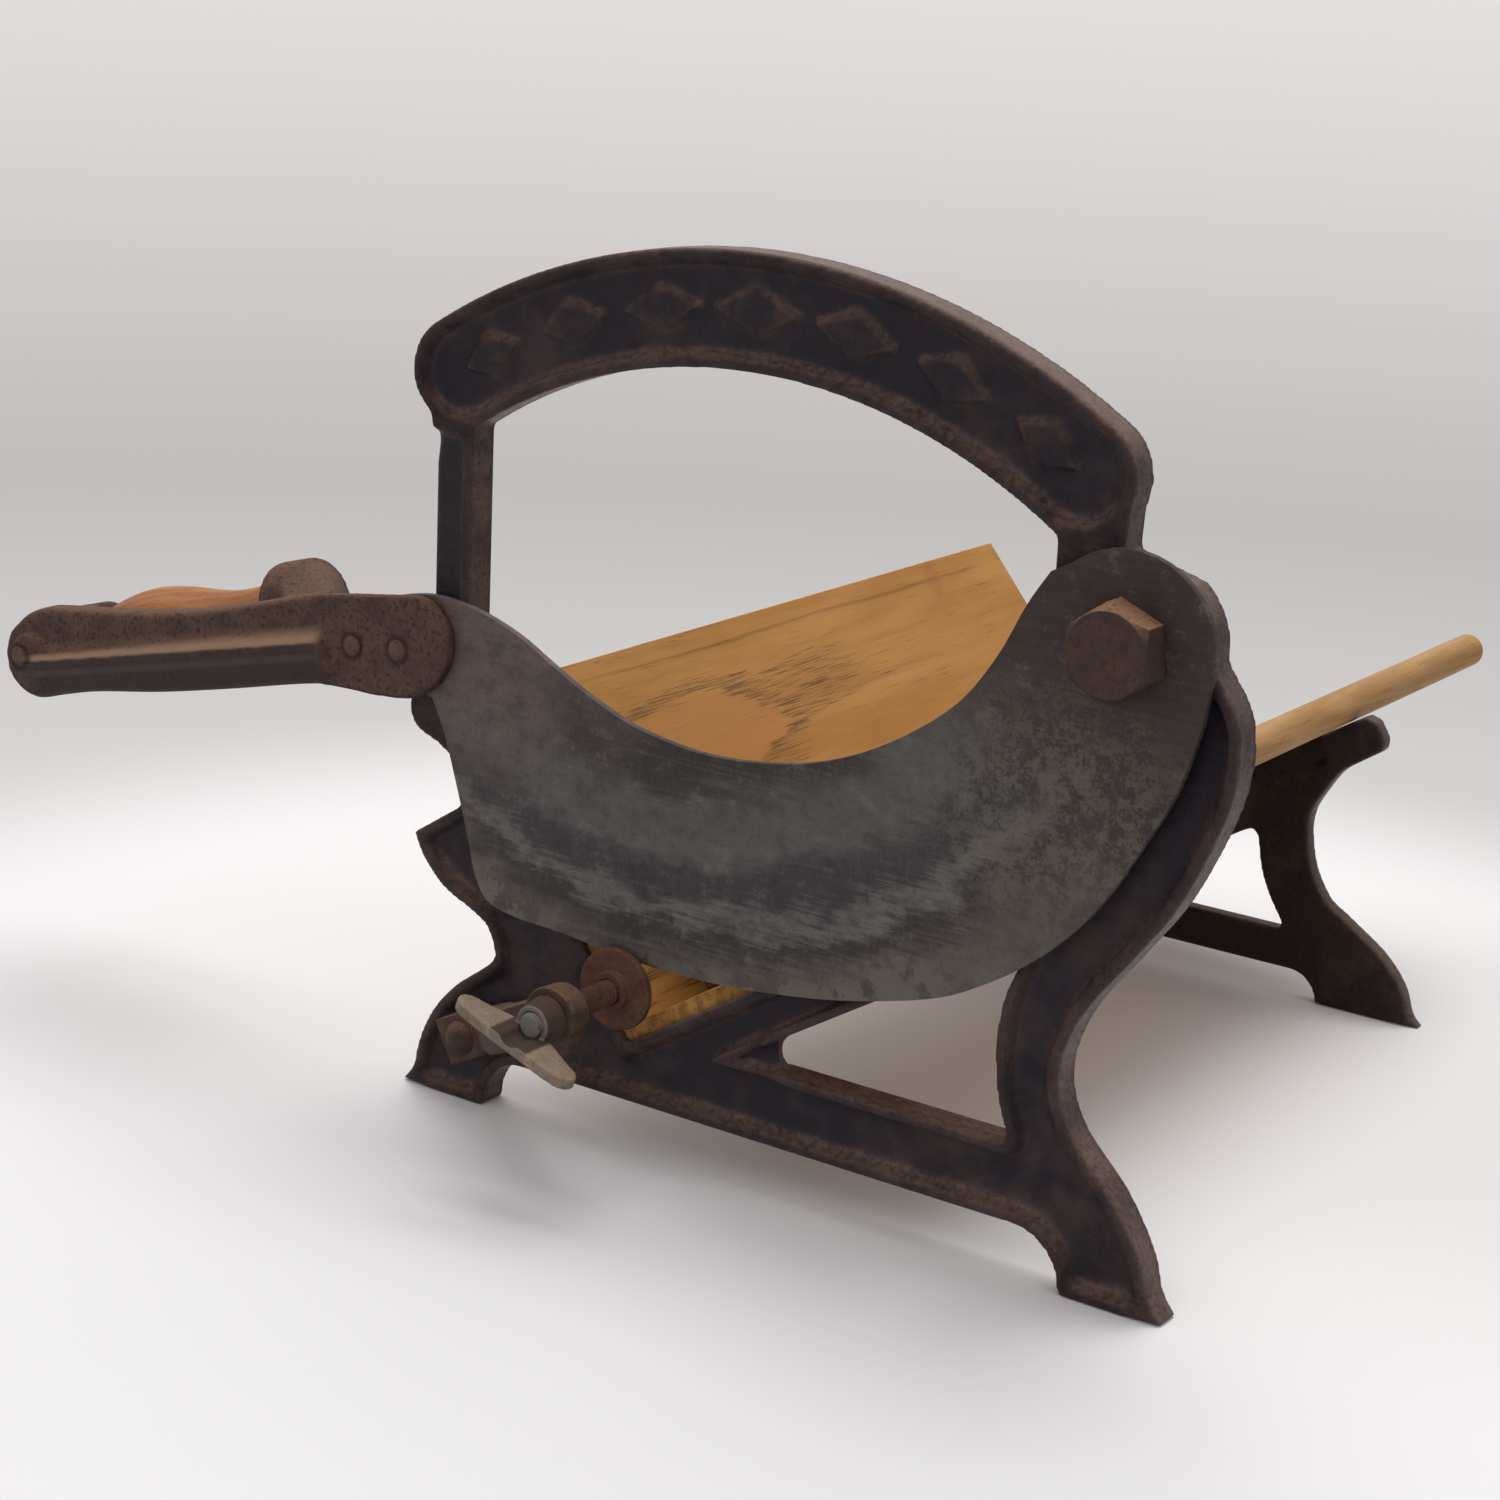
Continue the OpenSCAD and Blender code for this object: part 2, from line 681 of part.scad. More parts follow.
module pusher_block() {
    color([0.66, 0.46, 0.24])
        in_trough()
            difference() {
                upright(block_front, block_thickness)
                    polygon(concat(
                        [[block_left, block_bottom], [block_foot, block_bottom], [block_foot, -block_drop],
                            [block_reach, -block_drop]],
                        curve([[block_reach, 0.33 * block_top], [block_reach - 9, 0.55 * block_top],
                            [block_reach - 33, 0.83 * block_top], [block_reach - 73, block_top - 2],
                            [block_reach - 103, block_top]]),
                        [[block_left, block_top]]));
                post([rod_at, rod_height], block_front - over, block_thickness + 2 * over,
                    rod_radius + pin_fit);
                translate([rod_at, pusher_screw_y, rod_height])
                    rotate([0, 90, 0])
                        cylinder(h = block_side + over, r = screw_radius + pin_fit);
            }
}

module pusher_rod() {
    color([0.72, 0.52, 0.28])
        in_trough()
            translate([rod_at, 0, rod_height])
                difference() {
                    translate([0, rod_rear, 0])
                        rotate([90, 0, 0])
                            rotate_extrude()
                                polygon(concat(
                                    [[0, 0]],
                                    arc([rod_radius - rod_round, rod_round], rod_round, -90, 0, 8),
                                    [[rod_radius, rod_rear - block_front], [0, rod_rear - block_front]]));
                    translate([0, pusher_screw_y, 0])
                        rotate([0, 90, 0])
                            cylinder(h = rod_radius + over, r = screw_radius + pin_fit);
                }
}

module pusher_screw() {
    color([0.45, 0.4, 0.35])
        in_trough()
            translate([block_reach, pusher_screw_y, rod_height])
                rotate([0, -90, 0])
                    wood_screw(0, block_side);
}

// The blade's outline from the pivot
blade_edge = curve([[pad_x + 25, -72], [pad_x + 31, -84], [pad_x + 37.5, -103], [pad_x + 44, -124],
    [pad_x + 48, -138], [pad_x + 55, -147.5], [pad_x + 71, -150.8],
    [-227.6, -151.5], [-191.2, -154.6], [-152, -154.1], [-113, -149.4], [-85.2, -143.4], [-62.4, -136.6],
    [-47.5, -129.4], [-28.7, -117.1], [-12.1, -102.1], [1, -85.5], [13.3, -64.1], [23.5, -44], [30.5, -20]]);
blade_back = curve([[-29, 21], [-37.1, 8.3], [-47.2, -11.5], [-61.9, -30.9], [-86.2, -48.6], [-111.8, -60.7],
    [-138.5, -66.9], [-166.3, -68.8], [-195.1, -64.9], [-217.4, -57.1], [-235.4, -48.4], [-251.5, -40.3],
    [-270.1, -34.4], [pad_x + 28.1, -32], [pad_x + 11.5, -34], [pad_x - 15, -42]]);
blade_outline = concat(
    blade_edge,
    arc([0, 0], blade_end, -16, 130, 16),
    blade_back,
    [[pad_x - 27, -46], [pad_x - 23, -68], [pad_x - 3, -66]]);
rivet_places = [[-11.4, 0.7], [11.4, -1.3]];

module blade() {
    color([0.33, 0.31, 0.3])
        difference() {
            upright(blade_front, blade_thickness)
                translate(pivot)
                    polygon(blade_outline);
            post(pivot, blade_front - over, blade_thickness + 2 * over, bolt_radius + running_fit);
            at_handle()
                for (place = rivet_places)
                    post(place, blade_front - over, blade_thickness + 2 * over, rivet_radius + pin_fit);
        }
}

// A hexagon with its two edges rounded off by a cone, standing on Z
module hexagon(height) {
    reach = bolt_flats / sqrt(3);
    intersection() {
        cylinder(h = height, r = reach, $fn = 6);
        cylinder(h = height, r1 = reach + height - bolt_chamfer, r2 = reach - bolt_chamfer);
    }
}

module pivot_bolt() {
    color([0.42, 0.3, 0.2])
        translate([pivot_x, 0, pivot_z]) {
            translate([0, blade_front - head_gap, 0])
                rotate([90, 0, 0])
                    rotate(bolt_turn + 30)
                        hexagon(bolt_head);
            post([0, 0], blade_front - head_gap - over, bolt_length + over, bolt_radius);
        }
}

module pivot_washer() {
    color([0.36, 0.33, 0.3])
        difference() {
            post(pivot, frame_depth, washer_thickness, washer_radius);
            post(pivot, frame_depth - over, washer_thickness + 2 * over, bolt_radius + running_fit);
        }
}

module spring_washer() {
    color([0.3, 0.28, 0.26])
        difference() {
            post(pivot, frame_depth + washer_thickness, spring_thickness, bolt_radius + spring_wall);
            post(pivot, frame_depth, stack_back - frame_depth + over, bolt_radius + running_fit);
            translate([pivot_x - spring_slot / 2, frame_depth, pivot_z])
                cube([spring_slot, stack_back - frame_depth + over, bolt_radius + spring_wall + over]);
        }
}

module pivot_nut() {
    color([0.36, 0.28, 0.22])
        difference() {
            translate([pivot_x, stack_back, pivot_z])
                rotate([-90, 0, 0])
                    hexagon(nut_height);
            post(pivot, stack_back - over, nut_height + 2 * over, bolt_radius + running_fit);
        }
}

far = handle_end;
// The handle's face, X along the bar and Z across it
handle_outline = concat(
    curve([[37, -2], [37.2, 6], [33, 14], [25.7, 18.8], [9, 20], [-25, 21.3], [-43, 20.2], [-80, 16.8],
        [-118, 15.7], [38 - far, 18.4], [24 - far, 18.7], [14 - far, 16], [5.5 - far, 10], [0.5 - far, 1]]),
    curve([[0.5 - far, -7], [7 - far, -15.5], [16 - far, -19.4], [26 - far, -18.6], [50 - far, -17],
        [-124.7, -17.5], [-86, -16.5], [-38, -14.5], [-18.7, -16.2], [-3, -19], [14.8, -20.2], [27, -16],
        [34.5, -8.5]]));
// Section of the ridge, Y towards the back and Z up: a slope above the crest and a longer one below
ridge_section = [[over, 7], [0, 7], [-0.9 * ridge_height, 0.8], [-ridge_height, -0.6],
    [-0.95 * ridge_height, -2.5], [-0.3 * ridge_height, -13], [0, -14.5], [over, -14.5]];
lobe_place = [17 - far, -4.5];
bar_back = pad_front + handle_thickness;
// The bar is at full thickness only beyond the tang of the blade
tang_end = 28;
cup_radius = 19;
cup_depth = 9;
cup_floor = 8;
holder_radius = 15;
holder_thickness = 12;
hook_root = 38;
ridge_rise = 3;
rod_left = grip_length + holder_thickness + 4;
pin_place = grip_length + holder_thickness + 1;
// The pin steps down to pass through the rod
pin_front = pad_front - lobe_height;
pin_step = 1;
pin_gap = 0.2;

module handle_bar() {
    color([0.2, 0.17, 0.15])
        difference() {
            union() {
                at_handle() {
                    upright(pad_front, pad_thickness)
                        polygon(handle_outline);
                    intersection() {
                        upright(pad_front, handle_thickness)
                            polygon(handle_outline);
                        translate([-handle_end - tang_end, pad_front - over, -handle_end])
                            cube([handle_end, handle_thickness + 2 * over, 2 * handle_end]);
                    }
                    translate([-ridge_start, pad_front, ridge_rise])
                        rotate([0, -ridge_tilt, 0])
                            translate([-ridge_length, 0, 0])
                                rotate([90, 0, 90])
                                    linear_extrude(ridge_length)
                                        polygon(ridge_section);
                    post(lobe_place, pad_front - lobe_height, lobe_height + over, lobe_radius);
                }
                hull() {
                    at_grip()
                        translate([0, 0, grip_length + end_play])
                            cylinder(h = holder_thickness + 6, r = holder_radius, $fn = 32);
                    at_handle()
                        translate([4 - far, bar_back - 4, -14])
                            cube([18, 3, 27]);
                }
                at_grip()
                    translate([0, 0, -end_play - cup_floor])
                        cylinder(h = cup_floor + cup_depth, r = cup_radius);
                hull() {
                    at_grip()
                        translate([0, 0, -end_play - cup_floor + 0.8])
                            cylinder(h = cup_floor - 1.6, r = cup_radius - 1, $fn = 32);
                    at_handle()
                        translate([-hook_root - 14, bar_back - 3, -6])
                            cube([24, 2, 22]);
                }
            }
            at_grip() {
                translate([0, 0, -end_play])
                    cylinder(h = cup_depth + end_play + over, r = grip_flare + 1);
                translate([0, 0, -end_play - cup_floor - over])
                    cylinder(h = rod_left + cup_floor + 3 * over, r = grip_rod_radius + pin_fit);
                translate([0, -grip_back + pad_front - lobe_height - over, pin_place])
                    rotate([-90, 0, 0])
                        cylinder(h = 2 * grip_back, r = rivet_radius + pin_fit);
            }
            at_handle()
                for (place = rivet_places)
                    post(place, pad_front - over, pad_thickness + 2 * over, rivet_radius + pin_fit);
        }
}

// A domed head standing on Z
module dome(r, height) {
    ball = (r * r + height * height) / (2 * height);
    rotate_extrude()
        polygon(concat([[0, 0]], arc([0, height - ball], ball, asin((ball - height) / ball), 90, 10)));
}

module handle_rivets() {
    color([0.3, 0.26, 0.22])
        at_handle()
            for (place = rivet_places) {
                post(place, pad_front, pad_thickness + blade_thickness, rivet_radius);
                translate([place[0], pad_front, place[1]])
                    rotate([90, 0, 0])
                        dome(rivet_radius + rivet_brim, rivet_head);
            }
}

// The grip's profile: radius, and place along the grip as a share of its length
grip_profile = [[grip_flare - 1.2, 0], [grip_flare, 0.018], [grip_flare - 0.5, 0.07],
    [grip_waist + 0.9, 0.15], [grip_waist, 0.24], [grip_waist + 0.3, 0.34], [grip_waist + 2.2, 0.45],
    [grip_bulge - 1.5, 0.57], [grip_bulge, 0.69], [grip_bulge - 0.5, 0.79], [grip_bulge - 2.6, 0.89],
    [grip_bulge - 5, 0.965], [grip_bulge - 6.8, 1]];

module grip() {
    color([0.6, 0.3, 0.14])
        at_grip()
            rotate_extrude()
                polygon(concat(
                    [[grip_rod_radius + running_fit, 0]],
                    curve([for (p = grip_profile) [p[0], p[1] * grip_length]]),
                    [[grip_rod_radius + running_fit, grip_length]]));
}

module grip_rod() {
    color([0.34, 0.3, 0.27])
        at_grip()
            difference() {
                translate([0, 0, -end_play - cup_floor])
                    cylinder(h = rod_left + cup_floor, r = grip_rod_radius);
                translate([0, -grip_back, pin_place])
                    rotate([-90, 0, 0])
                        cylinder(h = 2 * grip_back, r = rivet_radius - pin_step);
            }
}

module rod_pin() {
    color([0.3, 0.26, 0.22])
        at_grip()
            translate([0, pin_front - grip_back, pin_place])
                rotate([-90, 0, 0]) {
                    cylinder(h = grip_back - pin_front - grip_rod_radius - pin_gap, r = rivet_radius);
                    cylinder(h = grip_back - pin_front + grip_rod_radius,
                        r = rivet_radius - pin_step - pin_fit);
                    rotate([180, 0, 0])
                        dome(rivet_radius + rivet_brim, rivet_head);
                }
}

foot_back = panel_depth;
foot_front = panel_depth - bracket_thickness;

// Step of the boss's chin behind its ends
chin_step = 0.8;
chin_radius = boss_back_radius - 1;
// Outline of the bracket's arm seen along its width, X towards the boss
arm_outline = concat(
    curve([[bracket_foot / 2 - 1, -0.5], [20, -3], [40, -15], [58, 6 - boss_back],
        [gauge_reach - 9, -boss_back]]),
    [[gauge_reach, -boss_back], [gauge_reach, -boss_front + 1]],
    curve([[gauge_reach - 9, -boss_front + 1], [58, -boss_front + 3], [40, -35], [24, -20],
        [bracket_foot / 2 - 1, foot_front]]));

module gauge_bracket() {
    color([0.28, 0.24, 0.21])
        difference() {
            union() {
                at_bracket() {
                    translate([-bracket_foot / 2, foot_front, -bracket_foot / 2])
                        cube([bracket_foot, bracket_thickness, bracket_foot]);
                    translate([0, 0, -arm_width / 2])
                        linear_extrude(arm_width)
                            polygon(arm_outline);
                    translate([gauge_reach, -boss_back, 0])
                        rotate([90, 0, 0])
                            cylinder(h = boss_front - boss_back,
                                r1 = boss_back_radius, r2 = boss_front_radius);
                }
                upright(-boss_front + chin_step, boss_front - boss_back - 2 * chin_step)
                    polygon(concat(
                        arc([gauge_x, gauge_z - boss_chin], chin_radius, 180, 360),
                        [[gauge_x + chin_radius, gauge_z], [gauge_x - chin_radius, gauge_z]]));
            }
            post(gauge, -boss_front - over, boss_front - boss_back + 2 * over,
                gauge_rod_radius + running_fit);
            post(bracket, foot_front - over, bracket_thickness + 2 * over, bracket_bolt_radius + pin_fit);
        }
}

module bracket_bolt() {
    color([0.3, 0.26, 0.22])
        translate([bracket_x, foot_front, bracket_z]) {
            rotate([90, 0, 0])
                dome(bracket_bolt_head, bracket_bolt_dome);
            rotate([-90, 0, 0])
                cylinder(h = bracket_thickness + web_thickness + bracket_nut_height, r = bracket_bolt_radius);
        }
}

module bracket_nut() {
    color([0.34, 0.3, 0.27])
        difference() {
            translate([bracket_x, panel_depth + web_thickness, bracket_z])
                translate([-bracket_nut_side / 2, 0, -bracket_nut_side / 2])
                    cube([bracket_nut_side, bracket_nut_height, bracket_nut_side]);
            post(bracket, panel_depth, web_thickness + bracket_nut_height + over,
                bracket_bolt_radius + pin_fit);
        }
}

module gauge_rod() {
    color([0.36, 0.28, 0.22])
        post(gauge, -boss_front - gauge_spare, boss_front + gauge_spare + disc_back, gauge_rod_radius);
}

module gauge_disc() {
    color([0.34, 0.24, 0.19])
        difference() {
            union() {
                post(gauge, disc_back - disc_thickness, disc_thickness, disc_radius);
                post(gauge, collar_front, collar_length + over, gauge_rod_radius + collar_wall);
            }
            post(gauge, collar_front - over, disc_back - collar_front + 2 * over, gauge_rod_radius + pin_fit);
        }
}

wing_outline = curve([[0, hub_length - 3.5], [8, hub_length - 2.5], [wing_span - 8, wing_reach - 11],
    [wing_span - 2.5, wing_reach - 9.5], [wing_span, wing_reach - 6], [wing_span - 1.5, wing_reach - 2.2],
    [wing_span - 6, wing_reach - 0.4], [12, wing_reach], [0, wing_reach]]);

module wing_nut() {
    color([0.45, 0.4, 0.34])
        translate([gauge_x, -boss_front - slide_gap, gauge_z])
            rotate([0, wing_turn, 0])
                difference() {
                    union() {
                        rotate([90, 0, 0])
                            cylinder(h = hub_length, r1 = hub_back_radius, r2 = hub_front_radius);
                        for (side = [0, 1])
                            mirror([side, 0, 0])
                                translate([0, 0, -wing_drop - wing_thickness / 2])
                                    mirror([0, 1, 0])
                                        linear_extrude(wing_thickness)
                                            polygon(wing_outline);
                    }
                    post([0, 0], -wing_reach - over, wing_reach + 2 * over, gauge_rod_radius + running_fit);
                }
}

placed() {
    front_frame();
    rear_stand();
    left_board();
    bed_board();
    left_board_screws();
    bed_screws();
    pusher_block();
    pusher_rod();
    pusher_screw();
    blade();
    pivot_bolt();
    pivot_washer();
    spring_washer();
    pivot_nut();
    handle_bar();
    handle_rivets();
    grip();
    grip_rod();
    rod_pin();
    gauge_bracket();
    bracket_bolt();
    bracket_nut();
    gauge_rod();
    gauge_disc();
    wing_nut();
}
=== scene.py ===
# %% [markdown]
# # Dressing a bench guillotine slicer
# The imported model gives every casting, board, bolt and rod at its real size. This lesson adds what
# the solids leave out: softened casting edges, worn paint, dust, wood grain, rust and a screw
# thread. The model comes in as a fixed frame, so nothing in it is moved: each dressed piece is a
# softened copy that stands where its solid is.

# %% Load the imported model
import bpy
import json
import math
from mathutils import Matrix, Vector
from mathutils.kdtree import KDTree


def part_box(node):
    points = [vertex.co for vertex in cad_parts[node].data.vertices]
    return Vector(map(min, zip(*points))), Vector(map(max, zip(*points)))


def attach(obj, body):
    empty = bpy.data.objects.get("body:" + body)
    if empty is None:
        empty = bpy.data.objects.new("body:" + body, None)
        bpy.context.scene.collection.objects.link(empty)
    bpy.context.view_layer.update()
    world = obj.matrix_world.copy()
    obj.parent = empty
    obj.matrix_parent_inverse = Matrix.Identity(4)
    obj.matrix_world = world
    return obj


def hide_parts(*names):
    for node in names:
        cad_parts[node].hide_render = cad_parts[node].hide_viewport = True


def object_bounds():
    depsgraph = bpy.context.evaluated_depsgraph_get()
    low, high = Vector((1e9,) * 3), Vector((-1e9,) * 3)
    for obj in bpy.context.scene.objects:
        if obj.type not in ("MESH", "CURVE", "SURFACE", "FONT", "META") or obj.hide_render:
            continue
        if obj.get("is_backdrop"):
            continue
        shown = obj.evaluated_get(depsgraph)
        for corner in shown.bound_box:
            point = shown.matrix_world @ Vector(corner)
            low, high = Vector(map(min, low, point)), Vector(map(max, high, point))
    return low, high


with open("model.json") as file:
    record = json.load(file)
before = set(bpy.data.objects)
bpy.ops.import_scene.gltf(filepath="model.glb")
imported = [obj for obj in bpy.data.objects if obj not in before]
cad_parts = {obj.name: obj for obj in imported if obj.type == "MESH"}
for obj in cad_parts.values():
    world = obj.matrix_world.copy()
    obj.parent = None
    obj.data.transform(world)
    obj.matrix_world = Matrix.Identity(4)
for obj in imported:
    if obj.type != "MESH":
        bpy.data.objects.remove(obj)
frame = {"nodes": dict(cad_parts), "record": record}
solid_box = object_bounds()
print("solids", len(frame["nodes"]), "box", [round(v, 3) for v in solid_box[1] - solid_box[0]])

# %% [markdown]
# ## Shared places
# The outlines of the slicer were drawn in millimetres from the middle of the front feet, with the
# front of the casting as zero. A spot on the slicer could be typed in metres each time, but then it
# would not agree with the drawing at a glance. `place` turns the drawing's millimetres into the
# model's metres instead.

# %% Shared places
ORIGIN_X, ORIGIN_Y = -103.121, 203.825


def place(x, y, z):
    return Vector(((x - ORIGIN_X) / 1000, (y - ORIGIN_Y) / 1000, z / 1000))


FEET_MIDDLE = place(0, 0, 0)
print("middle of the front feet", [round(v, 4) for v in FEET_MIDDLE])

# %% [markdown]
# ## Camera
# The slicer is seen from the right, a little above the arch, through a long lens. A camera could be
# aimed by a constraint, but that leaves out the small roll of the view. A matrix says all of it at
# once: its columns are the right, up and backward directions, and the standing point is set after
# it.

# %% Camera
AROUND, DOWN, ROLL = (math.radians(angle) for angle in (34.098, 15.939, 2.7256))
LENS, SENSOR = 74.39, 36
CAMERA_SPOT = place(586.32, -879.8, 472.58)
ahead = Vector((-math.sin(AROUND) * math.cos(DOWN), math.cos(AROUND) * math.cos(DOWN), -math.sin(DOWN)))
level = Vector((math.cos(AROUND), math.sin(AROUND), 0))
upright = level.cross(ahead)
right = level * math.cos(ROLL) + upright * math.sin(ROLL)
up = upright * math.cos(ROLL) - level * math.sin(ROLL)
bpy.ops.object.camera_add()
camera = bpy.context.object
camera.data.lens = LENS
camera.data.sensor_width = SENSOR
camera.matrix_world = Matrix((right, up, -ahead)).transposed().to_4x4()
camera.location = CAMERA_SPOT
bpy.context.scene.camera = camera
bpy.context.scene.view_settings.view_transform = "Standard"
print("camera stands at", [round(v, 3) for v in CAMERA_SPOT])

# %% [markdown]
# ## Node helpers
# Every finish is a small tree of shader nodes. It could be wired by hand, or painted on an image,
# but a tree made in code keeps its detail at any distance and needs no file. These helpers add one
# node each and return its output, so a finish reads like a recipe: take noise at a size, sharpen it
# into a mask, and mix two colours with it.

# %% Node helpers
def put(tree, kind, values=(), **settings):
    """Add a node with its settings, and fill or link its inputs."""
    node = tree.nodes.new("ShaderNode" + kind)
    for key, value in settings.items():
        setattr(node, key, value)
    for key, value in dict(values).items():
        if isinstance(value, bpy.types.NodeSocket):
            tree.links.new(value, node.inputs[key])
        else:
            node.inputs[key].default_value = value
    return node


def stretched(tree, where, scale, turn=(0, 0, 0)):
    return put(tree, "Mapping", {"Vector": where, "Scale": scale, "Rotation": turn}).outputs[0]


def spot(tree, scale=(1, 1, 1), turn=(0, 0, 0)):
    return stretched(tree, put(tree, "TexCoord").outputs["Object"], scale, turn)


def grain(tree, where, size, detail, rough, twist=0):
    """Noise: how many grains to a metre, how many finer layers, and how strong these are."""
    values = {"Vector": where, "Scale": size, "Detail": detail, "Roughness": rough, "Distortion": twist}
    return put(tree, "TexNoise", values).outputs[0]


def mask(tree, value, low, high):
    """0 at low, 1 at high, with a soft rise between."""
    values = {"Value": value, "From Min": low, "From Max": high}
    return put(tree, "MapRange", values, interpolation_type="SMOOTHSTEP").outputs[0]


def span(tree, value, low, high, start=0.0, end=1.0):
    """Start at low, end at high, with a straight rise between."""
    values = {"Value": value, "From Min": low, "From Max": high, "To Min": start, "To Max": end}
    return put(tree, "MapRange", values).outputs[0]


print("node helpers ready")

# %% [markdown]
# ## Sums with nodes
# Masks are combined with the Math node. It could be called with the name of its operation each
# time, but a short word for each sum keeps the recipes below readable. Two values that are
# multiplied give the place where both masks are on.

# %% Sums with nodes
def calc(tree, how, a, b=0.0):
    return put(tree, "Math", {0: a, 1: b}, operation=how).outputs[0]


def times(tree, a, b):
    return calc(tree, "MULTIPLY", a, b)


def plus(tree, a, b):
    return calc(tree, "ADD", a, b)


def minus(tree, a, b):
    return calc(tree, "SUBTRACT", a, b)


def most(tree, a, b):
    return calc(tree, "MAXIMUM", a, b)


def size_of(tree, a):
    return calc(tree, "ABSOLUTE", a)


def weighed(tree, a, share_a, b, share_b):
    return plus(tree, times(tree, a, share_a), times(tree, b, share_b))


def wobble(tree, noise, reach):
    """Noise that swings about zero, to make a border ragged."""
    return times(tree, minus(tree, noise, 0.5), reach)


def slant(tree, a, b):
    return calc(tree, "SQRT", plus(tree, times(tree, a, a), times(tree, b, b)))


def away(tree, a, b, centre, reach=(1, 1)):
    """Distance from a centre, counted in reaches, of a spot given by two coordinates."""
    across = calc(tree, "DIVIDE", minus(tree, a, centre[0]), reach[0])
    along = calc(tree, "DIVIDE", minus(tree, b, centre[1]), reach[1])
    return slant(tree, across, along)


print("sums ready")

# %% [markdown]
# ## Colours with nodes
# A worn surface is one colour laid over another, again and again, each with its own mask. A long
# chain of mixes could be typed out for each finish, but `lay` does one such coat in a word, and
# `ramp` gives bands of colour. `finish_named` starts a material and `close` wires its colour,
# roughness and relief to the shader.

# %% Colours with nodes
def tone(r, g, b):
    return (r, g, b, 1)


def mix(tree, share, a, b):
    return put(tree, "Mix", {0: share, 6: a, 7: b}, data_type="RGBA").outputs[2]


def lay(tree, colour, coat, where, strength):
    """Lay a coat over a colour where a mask is on, at a strength below 1."""
    return mix(tree, times(tree, where, strength), colour, coat)


def ramp(tree, value, stops):
    """Bands of colour. The stops run from 0 to 1."""
    node = put(tree, "ValToRGB", {0: value})
    row = node.color_ramp.elements
    row[0].color, row[1].color = stops[0][1], stops[-1][1]
    for at, colour in stops[1:-1]:
        row.new(at).color = colour
    return node.outputs[0]


def axes(tree):
    """The place and the facing of a spot, each split into x, y and z."""
    source = put(tree, "TexCoord").outputs
    return [put(tree, "SeparateXYZ", {0: source[name]}).outputs for name in ("Object", "Normal")]


def finish_named(name, metallic=0.0, specular=0.5):
    surface = bpy.data.materials.new(name)
    surface.use_nodes = True
    shader = surface.node_tree.nodes["Principled BSDF"]
    shader.inputs["Metallic"].default_value = metallic
    shader.inputs["Specular IOR Level"].default_value = specular
    return surface, surface.node_tree, shader


def close(tree, shader, colour, roughness, relief, depth, strength):
    tree.links.new(colour, shader.inputs["Base Color"])
    tree.links.new(roughness, shader.inputs["Roughness"])
    bump = put(tree, "Bump", {"Height": relief, "Distance": depth, "Strength": strength})
    tree.links.new(bump.outputs[0], shader.inputs["Normal"])


print("colour helpers ready")

# %% [markdown]
# ## Casting skin
# The frame was once black. The sunk panels keep a blue black skin, worn through in clouds and more
# so low on the legs, while the proud rims and the sides are rubbed to brown iron. The leg wear
# leaves out the middle, so that the crossbar stays darker as a painted shadow of the blade. This
# could be painted by hand on each face. Depth from the middle of the web already tells rim from
# panel, and the surface normal tells a side from a face, so masks of these two do the painting and
# follow the shape wherever it goes.

# %% Casting skin
def casting_skin(tree, where, facing, noise, tones, middle, web, half):
    """Panels, rims and sides. web and half are half the thickness in a panel and at a rim."""
    patch = noise["patch"]
    off = size_of(tree, minus(tree, where[1], middle))
    proud = mask(tree, plus(tree, off, wobble(tree, patch, 0.0022)), web + 0.0012, half - 0.0004)
    bare = mask(tree, plus(tree, noise["cloud"], times(tree, patch, 0.7)), 0.82, 1.06)
    skin = lay(tree, tones["panel"], tones["rim"], bare, 0.75)
    # Brown wear low on the legs. The middle is left out, so the crossbar stays darker as a painted shadow of
    # the blade.
    aside = size_of(tree, minus(tree, where[0], FEET_MIDDLE.x))
    legs = times(tree, mask(tree, aside, 0.06, 0.1), mask(tree, where[2], 0.16, 0.09))
    legs = times(tree, legs, mask(tree, patch, 0.38, 0.6))
    skin = lay(tree, skin, tones["rim"], legs, 0.5)
    beside_panel = mask(tree, off, web + 0.0002, web + 0.001)
    beside_rim = mask(tree, off, half - 0.0002, half - 0.0015)
    sloped = mask(tree, size_of(tree, facing[1]), 0.985, 0.9)
    hollow = times(tree, times(tree, beside_panel, beside_rim), sloped)
    skin = mix(tree, times(tree, hollow, mask(tree, patch, 0.34, 0.62)), skin, tones["rim"])
    iron = mix(tree, mask(tree, patch, 0.38, 0.66), tones["rim"], tones["wear_and_highlight"])
    flank = mask(tree, size_of(tree, facing[1]), 0.7, 0.2)
    colour = lay(tree, lay(tree, skin, iron, proud, 0.4), iron, flank, 0.85)
    return colour, proud, flank


print("casting skin ready")
